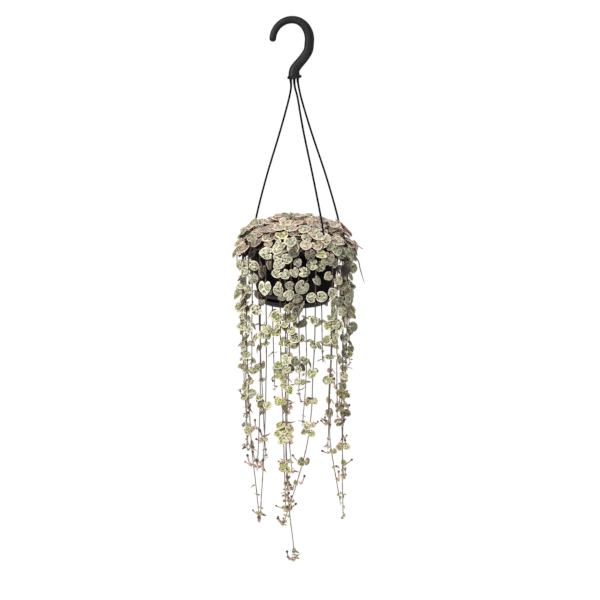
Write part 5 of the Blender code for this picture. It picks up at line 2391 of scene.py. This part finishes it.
@dataclass
class Studio:
    """The pale floor, the soft light and the camera.

    Attributes:
        floor_z: The height of the floor, which is a room's height below the hook.
        floor_size: The length of its sides.
        aim: What the camera looks at.
        distance: How far away the camera is.
        elevation: How far the camera looks down, in degrees.
        lens: The camera's focal length in millimetres.
    """

    floor_z: float = -1.60
    floor_size: float = 2.8
    aim: tuple[float, float, float] = (0.0061, 0.0, -0.3343)
    distance: float = 1.50
    elevation: float = 12.0
    lens: float = 72.56

    def floor(self) -> None:
        """Lay the floor."""
        graph = Graph("pale_floor", 0.8)
        clouds = graph.noise(graph.object_place(), 3.0, 2.0)
        pale = graph.mix(graph.step(clouds, 0.3, 0.7), (0.84, 0.84, 0.84), (0.88, 0.88, 0.88))
        graph.feed(graph.shader.inputs["Emission Color"], pale)
        graph.shader.inputs["Emission Strength"].default_value = 0.74
        graph.finish(pale)
        half = self.floor_size / 2
        mesh = bpy.data.meshes.new("floor")
        corners = [(x * half, y * half, self.floor_z) for x, y in ((-1, -1), (1, -1), (1, 1), (-1, 1))]
        mesh.from_pydata(corners, [], [(0, 1, 2, 3)])
        mesh.materials.append(graph.material)
        floor = bpy.data.objects.new("floor", mesh)
        bpy.context.scene.collection.objects.link(floor)

    def lamp(self, name: str, place: Vector, size: float, power: float) -> None:
        """Hang a soft square lamp that points at the plant.

        Args:
            name: Its name.
            place: Where it is.
            size: The length of its sides.
            power: Its power in watts.
        """
        light = bpy.data.lights.new(name, "AREA")
        light.size = size
        light.energy = power
        obj = bpy.data.objects.new(name, light)
        obj.location = place
        obj.rotation_euler = (Vector((0.0, 0.0, -0.34)) - place).to_track_quat("-Z", "Y").to_euler()
        bpy.context.scene.collection.objects.link(obj)

    def light(self) -> None:
        """Light the plant from the left front, the right, above and behind, in a white room."""
        self.lamp("key_light", Vector((-0.75, -1.35, 0.35)), 0.5, 38.0)
        self.lamp("fill_light", Vector((1.3, -0.9, 0.1)), 0.8, 10.0)
        self.lamp("top_light", Vector((0.1, 0.1, 1.1)), 0.6, 10.0)
        self.lamp("rear_light", Vector((0.5, 1.5, 0.6)), 0.8, 12.0)
        world = bpy.data.worlds.new("white_room")
        world.use_nodes = True
        tree = world.node_tree
        seen = tree.nodes["Background"]
        seen.inputs["Color"].default_value = (1.0, 1.0, 1.0, 1.0)
        seen.inputs["Strength"].default_value = 1.02
        given = tree.nodes.new("ShaderNodeBackground")
        given.inputs["Color"].default_value = (1.0, 1.0, 1.0, 1.0)
        given.inputs["Strength"].default_value = 0.11
        path = tree.nodes.new("ShaderNodeLightPath")
        mix = tree.nodes.new("ShaderNodeMixShader")
        tree.links.new(path.outputs["Is Camera Ray"], mix.inputs["Fac"])
        tree.links.new(given.outputs[0], mix.inputs[1])
        tree.links.new(seen.outputs[0], mix.inputs[2])
        tree.links.new(mix.outputs[0], tree.nodes["World Output"].inputs["Surface"])
        bpy.context.scene.world = world
        bpy.context.scene.view_settings.view_transform = "Standard"

    def camera(self) -> None:
        """Set up the camera."""
        tilt = math.radians(self.elevation)
        data = bpy.data.cameras.new("camera")
        data.sensor_width = 36.0
        data.lens = self.lens
        camera = bpy.data.objects.new("camera", data)
        back = Vector((0.0, -math.cos(tilt), math.sin(tilt)))
        camera.location = Vector(self.aim) + back * self.distance
        camera.rotation_euler = (-back).to_track_quat("-Z", "Y").to_euler()
        bpy.context.scene.collection.objects.link(camera)
        bpy.context.scene.camera = camera

    def set_up(self) -> None:
        """Set up the whole studio."""
        self.floor()
        self.light()
        self.camera()


def main() -> None:
    """Build every piece in order."""
    logging.basicConfig(level=logging.INFO, format="%(name)s: %(message)s")
    hanger = MouldedPlastic("hanger_plastic", shade(15, 15, 16), shade(35, 35, 37), roughness=0.50,
                            grain=0.0005, relief=0.00012, sheen=0.18).build()
    line = MouldedPlastic("strand_plastic", shade(5, 5, 6), shade(14, 14, 15), roughness=0.60,
                          grain=0.0004, relief=0.00006, sheen=0.04).build()
    black = MouldedPlastic("pot_plastic", shade(4, 4, 5), shade(14, 15, 18), roughness=0.34,
                           grain=0.0006, relief=0.00008, sheen=0.20).build()
    peat = SoilMix("potting_mix", shade(42, 30, 22), shade(84, 62, 44)).build()
    perlite = Perlite().build()
    stem_skin = StemSkin("stem_skin", shade(54, 38, 34), shade(112, 100, 84), shade(136, 100, 84)).build()
    leaf_skins = [LeafSkin().build(), LeafBack().build()]
    flower_skin = FlowerSkin().build()

    room = Room()
    hook = Hook()
    hook.dress(hanger)
    for name, (collar_azimuth, rim_azimuth) in STRAND_AZIMUTHS.items():
        room.keep_clear_of(*Strand(name, collar_azimuth, rim_azimuth).dress(hook, line))
    pot = Pot()
    for mesh in pot.dress(black):
        room.keep_clear_of(*mesh)
    room.keep_clear_of(*Saucer().dress(black))
    soil = Soil()
    room.keep_clear_of(*soil.dress(pot, peat, perlite))

    plant = Plant(room, soil, random.Random(7))
    plant.grow()
    LOG.info("leaves: %d", sum(len(vine.leaves) for vine in plant.vines))
    plant.dress(stem_skin, leaf_skins, flower_skin)
    Studio().set_up()

    bpy.context.view_layer.update()


if __name__ == "__main__":
    main()
